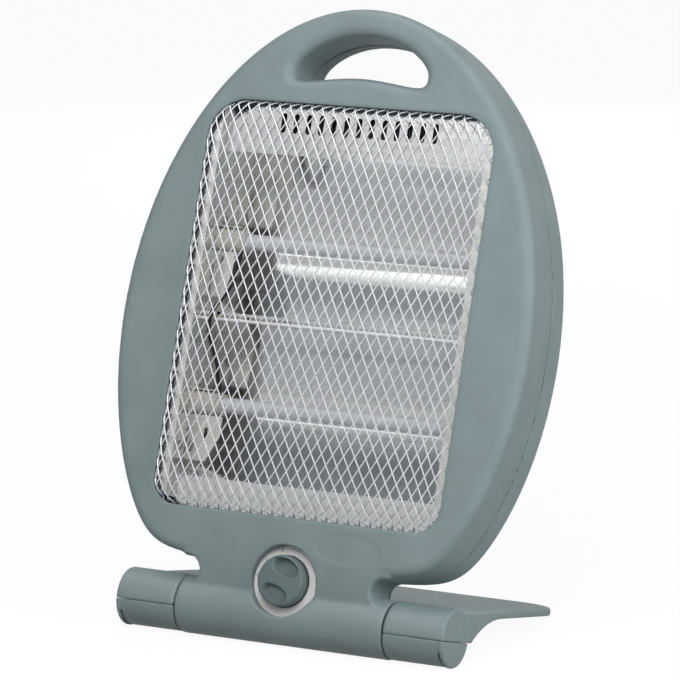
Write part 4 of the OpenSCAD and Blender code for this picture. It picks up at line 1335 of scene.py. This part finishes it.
@dataclass
class Lamps:
    """What holds and joins the lamps: the sleeved wire between their left ends, and the left brackets' leaves."""

    radius: float = 1.3
    sides: int = 12
    steps: int = 8
    swell: Pair = (0.05, 2.1)
    slot_steps: int = 13
    leaf_left: float = -94.4
    leaf_y: float = 1.6
    leaf_sheet: float = 0.6
    leaf_down: Triple = (0.0, 12.6, 29.6)
    leaves: tuple[Leaf, ...] = (
        Leaf(
            "bracket_leaf_lower", 121.2, (-71.0, -71.0, -79.2), ((-91.0, -21.0, 2.0, 3.4), (-81.6, -11.8, 1.3, 4.2))
        ),
        Leaf("bracket_leaf_upper", 228.2, (-80.4, -80.4, -84.5), ((-89.0, -6.0, 1.2, 3.0),)),
    )
    knots: tuple[Triple, ...] = (
        (-76.6, 2.9, 229.6), (-76.9, 2.0, 224.0), (-78.0, 1.0, 219.0), (-75.0, -4.0, 210.0), (-77.0, -9.0, 199.0),
        (-82.0, -11.0, 190.0), (-84.0, -11.6, 182.0), (-83.0, -11.0, 173.0), (-80.0, -8.0, 163.0),
        (-78.0, -3.5, 154.0), (-78.2, 0.5, 146.0), (-77.0, 2.0, 141.0), (-76.6, 2.9, 136.2),
    )

    def route(self) -> Array:
        """Smooth route of the wire through its knots.

        Formula: between knots b and c, with neighbours a and d, half of 2 b + (c - a) t + (2 a - 5 b + 4 c - d) t^2
        + (3 b - a - 3 c + d) t^3.

        Returns:
            Rows of x, y, z.
        """
        knots = np.array(self.knots)
        p = np.vstack([knots[:1], knots, knots[-1:]])
        t = np.linspace(0, 1, self.steps, endpoint=False)[:, None, None]
        a, b, c, d = (p[k : k + len(knots) - 1][None] for k in range(4))
        curve = 0.5 * (2 * b + (c - a) * t + (2 * a - 5 * b + 4 * c - d) * t**2 + (3 * b - a - 3 * c + d) * t**3)
        return np.vstack([curve.transpose(1, 0, 2).reshape(-1, 3), knots[-1:]])

    def leaf(self, leaf: Leaf, finishes: Finishes) -> None:
        """Hangs a pierced leaf under a left bracket, facing the front.

        Args:
            leaf: its name and sizes.
            finishes: the finishes.
        """
        rows = [slot_rows(-middle, -half, self.slot_steps) for _, middle, _, half in leaf.slots]
        down = np.unique(np.concatenate([self.leaf_down, *rows]).round(4))
        right = np.interp(down, self.leaf_down, leaf.right)
        x, quads = pierced(-down, np.full(len(down), self.leaf_left), right, leaf.slots)
        points = np.stack(np.broadcast_arrays(x, self.leaf_y, leaf.top - down[:, None]), -1)
        Piece(
            leaf.name, points, quads[:, ::-1], "zinc_sheet", sharp_deg=30.0, merge=0.002, wall=self.leaf_sheet
        ).build(finishes)

    def build(self, finishes: Finishes) -> None:
        """Builds the sleeved wire, whose sleeve swells a little along its length, and the leaves.

        Args:
            finishes: the finishes.
        """
        path = self.route()
        share, wave = self.swell
        radii = self.radius * (1 + share * np.sin(np.arange(len(path)) * wave))
        Piece("lamp_lead", *tube_along(path, radii, self.sides), "black_sleeve", ("link_wire",)).build(finishes)
        for leaf in self.leaves:
            self.leaf(leaf, finishes)


# ---------------------------------------------------------------- knob and dial


@dataclass
class Control:
    """Knob with two finger hollows, and the figures on its dial ring."""

    axis_z: float = 21.0
    base_y: float = -12.0
    radius: float = 16.2
    height: float = 9.6
    bar_deg: float = 161.0
    hollow_at: float = 9.3
    hollow_size: Pair = (10.2, 6.0)
    hollow_depth: float = 3.91
    hollow_power: float = 2.4
    hollow_soft: float = 2.2
    hollow_tilt: Pair = (0.18, 12.0)
    edge: float = 2.0
    dome: float = 0.12
    chamfer: float = 0.3
    tip: float = 0.001
    steps: int = 144
    rings: int = 46
    ring_ends: Pair = (0.7, 0.35)
    rim_deg: Triple = (15, 90, 7)
    socket: Pair = (9.0, 3.2)
    figures: tuple[tuple[str, float], ...] = (("0", 174.0), ("1", 142.0), ("2", 106.0))
    figure_at: Pair = (20.35, -12.74)
    figure_size: Pair = (3.4, 0.02)

    def hollow(self, x: Array, z: Array) -> Array:
        """Depth of the two finger hollows.

        Formula: with q the place in an ellipse beside the bar, as (|u/a|^p + |v/b|^p)^(1/p), the depth is the full
        one times the smooth step of (1 - q) b over the soft width, less a share of it towards the lower right.

        Args:
            x: x values from the knob's middle.
            z: z values from the knob's middle.

        Returns:
            Depths.
        """
        turn = math.radians(self.bar_deg)
        along = x * math.cos(turn) + z * math.sin(turn)
        across = np.abs(-x * math.sin(turn) + z * math.cos(turn)) - self.hollow_at
        a, b = self.hollow_size
        power = self.hollow_power
        q = (np.abs(along / a) ** power + np.abs(across / b) ** power) ** (1 / power)
        share, reach = self.hollow_tilt
        tilt = 1 - share * np.clip((x - z) / reach, -1, 1)
        return self.hollow_depth * tilt * smooth_step((1 - q) * b / self.hollow_soft)

    def knob(self) -> tuple[Array, Array]:
        """Knob as a round grid: top with hollows, soft rim, side, and a hollow underside.

        Returns:
            The points and the quads.
        """
        a = np.arange(self.steps) * 2 * np.pi / self.steps
        inner = self.radius - self.edge
        first, past = self.ring_ends
        r = np.concatenate([[self.tip], np.linspace(first, inner + past, self.rings)])[:, None]
        x, z = r * np.cos(a), r * np.sin(a)
        face = self.base_y - self.height
        top = np.stack([x, face + self.dome * (r / self.radius) ** 4 + self.hollow(x, z), z], -1)
        b = np.radians(np.linspace(*self.rim_deg))
        rim = np.stack([inner + self.edge * np.sin(b), face + self.dome + self.edge * (1 - np.cos(b))], 1)
        hole, deep = self.socket
        side = [
            (self.radius, self.base_y - self.chamfer), (self.radius - self.chamfer, self.base_y),
            (hole, self.base_y), (hole, self.base_y - deep), (self.tip, self.base_y - deep),
        ]
        points = np.vstack([top.reshape(-1, 3), lathe(np.vstack([rim, side]), self.steps)])
        points[:, 2] += self.axis_z
        return points, grid_faces(len(points) // self.steps, self.steps, wrap_columns=True)

    def print_figure(self, text: str, angle_deg: float, finishes: Finishes) -> None:
        """Prints one plain figure on the ring, upright to the reader.

        Args:
            text: the figure.
            angle_deg: its place on the ring, from the right and towards the top.
            finishes: the finishes.
        """
        curve = bpy.data.curves.new(f"figure_{text}", "FONT")
        curve.body = text
        curve.size, curve.extrude = (v * MM for v in self.figure_size)
        curve.align_x = curve.align_y = "CENTER"
        maker = add_object(f"maker_{text}", curve)
        bpy.context.view_layer.update()
        mesh = baked(maker)
        bpy.data.objects.remove(maker)
        co = np.zeros(len(mesh.vertices) * 3)
        mesh.vertices.foreach_get("co", co)
        right, up, out = co.reshape(-1, 3).T / MM
        ring, front = self.figure_at
        a = math.radians(angle_deg)
        points = np.stack([right + ring * math.cos(a), front - out, up + self.axis_z + ring * math.sin(a)], 1)
        faces = [list(p.vertices) for p in mesh.polygons]
        Piece(f"dial_figure_{text}", points, faces, "pale_dial", finish="dial_print", merge=0.001).build(finishes)

    def build(self, finishes: Finishes) -> None:
        """Builds the knob and prints the figures.

        Args:
            finishes: the finishes.
        """
        Piece(
            "knob_cap", *self.knob(), "grey_knob", ("knob",), body="knob", sharp_deg=50.0, merge=0.01
        ).build(finishes)
        for text, angle in self.figures:
            self.print_figure(text, angle, finishes)


# ---------------------------------------------------------------- studio


@dataclass(frozen=True)
class SoftLamp:
    """Oblong area lamp: its middle and its width and depth in metres, its power, and whether only mirrors see it."""

    name: str
    place: Triple
    size: Pair
    watts: float
    mirrored: bool = False


@dataclass
class Studio:
    """Floor, soft lamps and the camera of the photograph."""

    yaw_deg: float = 27.947
    pitch_deg: float = 10.212
    roll_deg: float = 0.28
    focal_px: float = 4188.0
    image_px: float = 680.0
    sensor: float = 36.0
    distance: float = 2.6386
    target: Triple = (0.0155, -0.036125, 0.1916)
    middle: Triple = (0.0, 0.0, 0.2)
    floor_half: float = 6.0
    floor_z: float = -0.0002
    mirror_grey: float = 0.46
    paper: float = 1.1
    paper_grey: Pair = (0.44, 0.48)
    paper_grain: float = 400.0
    paper_rough: float = 0.9
    whiteness: float = 0.85
    room: float = 0.22
    mirror_room: float = 0.56
    lamps: tuple[SoftLamp, ...] = (
        SoftLamp("softbox", (-0.6, -0.34, 2.5), (3.6, 1.8), 33.0, mirrored=True),
        SoftLamp("card", (-1.31, -2.47, 2.1), (1.5, 0.8), 5.0, mirrored=True),
        SoftLamp("key", (0.15, -0.7, 0.8), (0.5, 0.5), 6.0),
        SoftLamp("fill", (2.2, -0.35, 1.0), (1.4, 1.4), 32.0),
        SoftLamp("back_fill", (-0.6, 2.4, 1.2), (1.6, 1.6), 26.0),
    )

    def camera(self) -> None:
        """Sets the camera: it looks along the yaw and pitch, rolled by a quarter of a degree."""
        yaw, pitch, roll = (math.radians(v) for v in (self.yaw_deg, self.pitch_deg, self.roll_deg))
        back = Vector((math.sin(yaw) * math.cos(pitch), -math.cos(yaw) * math.cos(pitch), math.sin(pitch)))
        right = Vector((math.cos(yaw), math.sin(yaw), 0.0))
        up = back.cross(right)
        x = right * math.cos(roll) + up * math.sin(roll)
        y = -right * math.sin(roll) + up * math.cos(roll)
        data = bpy.data.cameras.new("camera")
        data.sensor_width = self.sensor
        data.lens = self.focal_px / self.image_px * self.sensor
        data.clip_end = 60.0
        obj = add_object("camera", data)
        matrix = Matrix((x, y, back)).transposed().to_4x4()
        matrix.translation = Vector(self.target) + back * self.distance
        obj.matrix_world = matrix
        bpy.context.scene.camera = obj

    def floor(self) -> None:
        """Lays the floor: grey paper to the light, nearly white to the camera and plain grey to mirrors."""
        sheet = Sheet("floor_paper")
        sheet.tint(sheet.noise(self.paper_grain), *((grey,) * 3 for grey in self.paper_grey))
        sheet.set(Roughness=self.paper_rough)
        path = sheet.node("ShaderNodeLightPath")
        shown = sheet.shader.outputs["BSDF"]
        for ray, level, share in (
            ("Is Glossy Ray", self.mirror_grey, 1.0),
            ("Is Camera Ray", self.paper, self.whiteness),
        ):
            plain = sheet.node("ShaderNodeEmission", Strength=level)
            part = sheet.node("ShaderNodeMath", operation="MULTIPLY")
            part.inputs[1].default_value = share
            sheet.link(path.outputs[ray], part.inputs[0])
            mix = sheet.node("ShaderNodeMixShader")
            for k, socket in enumerate((part.outputs[0], shown, plain.outputs["Emission"])):
                sheet.link(socket, mix.inputs[k])
            shown = mix.outputs["Shader"]
        sheet.link(shown, sheet.out.inputs["Surface"])
        mesh = bpy.data.meshes.new("floor")
        half = self.floor_half
        corners = [(a * half, b * half, self.floor_z) for a, b in ((-1, -1), (1, -1), (1, 1), (-1, 1))]
        mesh.from_pydata(corners, [], [(0, 1, 2, 3)])
        mesh.materials.append(sheet.material)
        add_object("floor", mesh)

    def hang(self, lamp: SoftLamp) -> None:
        """Hangs a lamp that faces the object's middle and is seen either by mirrors or by what is matt.

        Args:
            lamp: the lamp.
        """
        data = bpy.data.lights.new(lamp.name, "AREA")
        data.shape = "RECTANGLE"
        data.size, data.size_y = lamp.size
        data.energy = lamp.watts
        obj = add_object(lamp.name, data)
        obj.location = lamp.place
        obj.rotation_euler = (Vector(self.middle) - Vector(lamp.place)).to_track_quat("-Z", "Y").to_euler()
        obj.visible_glossy = lamp.mirrored
        obj.visible_diffuse = not lamp.mirrored

    def world(self) -> None:
        """Lights the room evenly; mirrors see it paler and the camera sees it white."""
        room = bpy.data.worlds.new("room")
        bpy.context.scene.world = room
        room.use_nodes = True
        tree = room.node_tree
        back = tree.nodes["Background"]
        back.inputs["Color"].default_value = (1, 1, 1, 1)
        path = tree.nodes.new("ShaderNodeLightPath")
        glossy, seen = (tree.nodes.new("ShaderNodeMapRange") for _ in range(2))
        glossy.inputs["To Min"].default_value = self.room
        glossy.inputs["To Max"].default_value = self.mirror_room
        seen.inputs["To Max"].default_value = 1.0
        for start, end in (
            (path.outputs["Is Glossy Ray"], glossy.inputs["Value"]),
            (path.outputs["Is Camera Ray"], seen.inputs["Value"]),
            (glossy.outputs["Result"], seen.inputs["To Min"]),
            (seen.outputs["Result"], back.inputs["Strength"]),
        ):
            tree.links.new(start, end)

    def build(self) -> None:
        """Sets up the whole studio."""
        bpy.context.scene.view_settings.view_transform = "Standard"
        self.camera()
        self.floor()
        self.world()
        for lamp in self.lamps:
            self.hang(lamp)


def main() -> None:
    """Builds the dressed heater and its studio."""
    logging.basicConfig(level=logging.INFO, format="%(name)s %(message)s")
    Studio().build()
    finishes = Finishes()
    finishes.build()
    finishes.dress_nodes(frame["nodes"], frame["record"])
    for assembly in (Shell(), Stand(), Grille(), Reflector(), Lamps(), Control()):
        LOG.info("building %s", type(assembly).__name__)
        assembly.build(finishes)


if __name__ == "__main__":
    main()
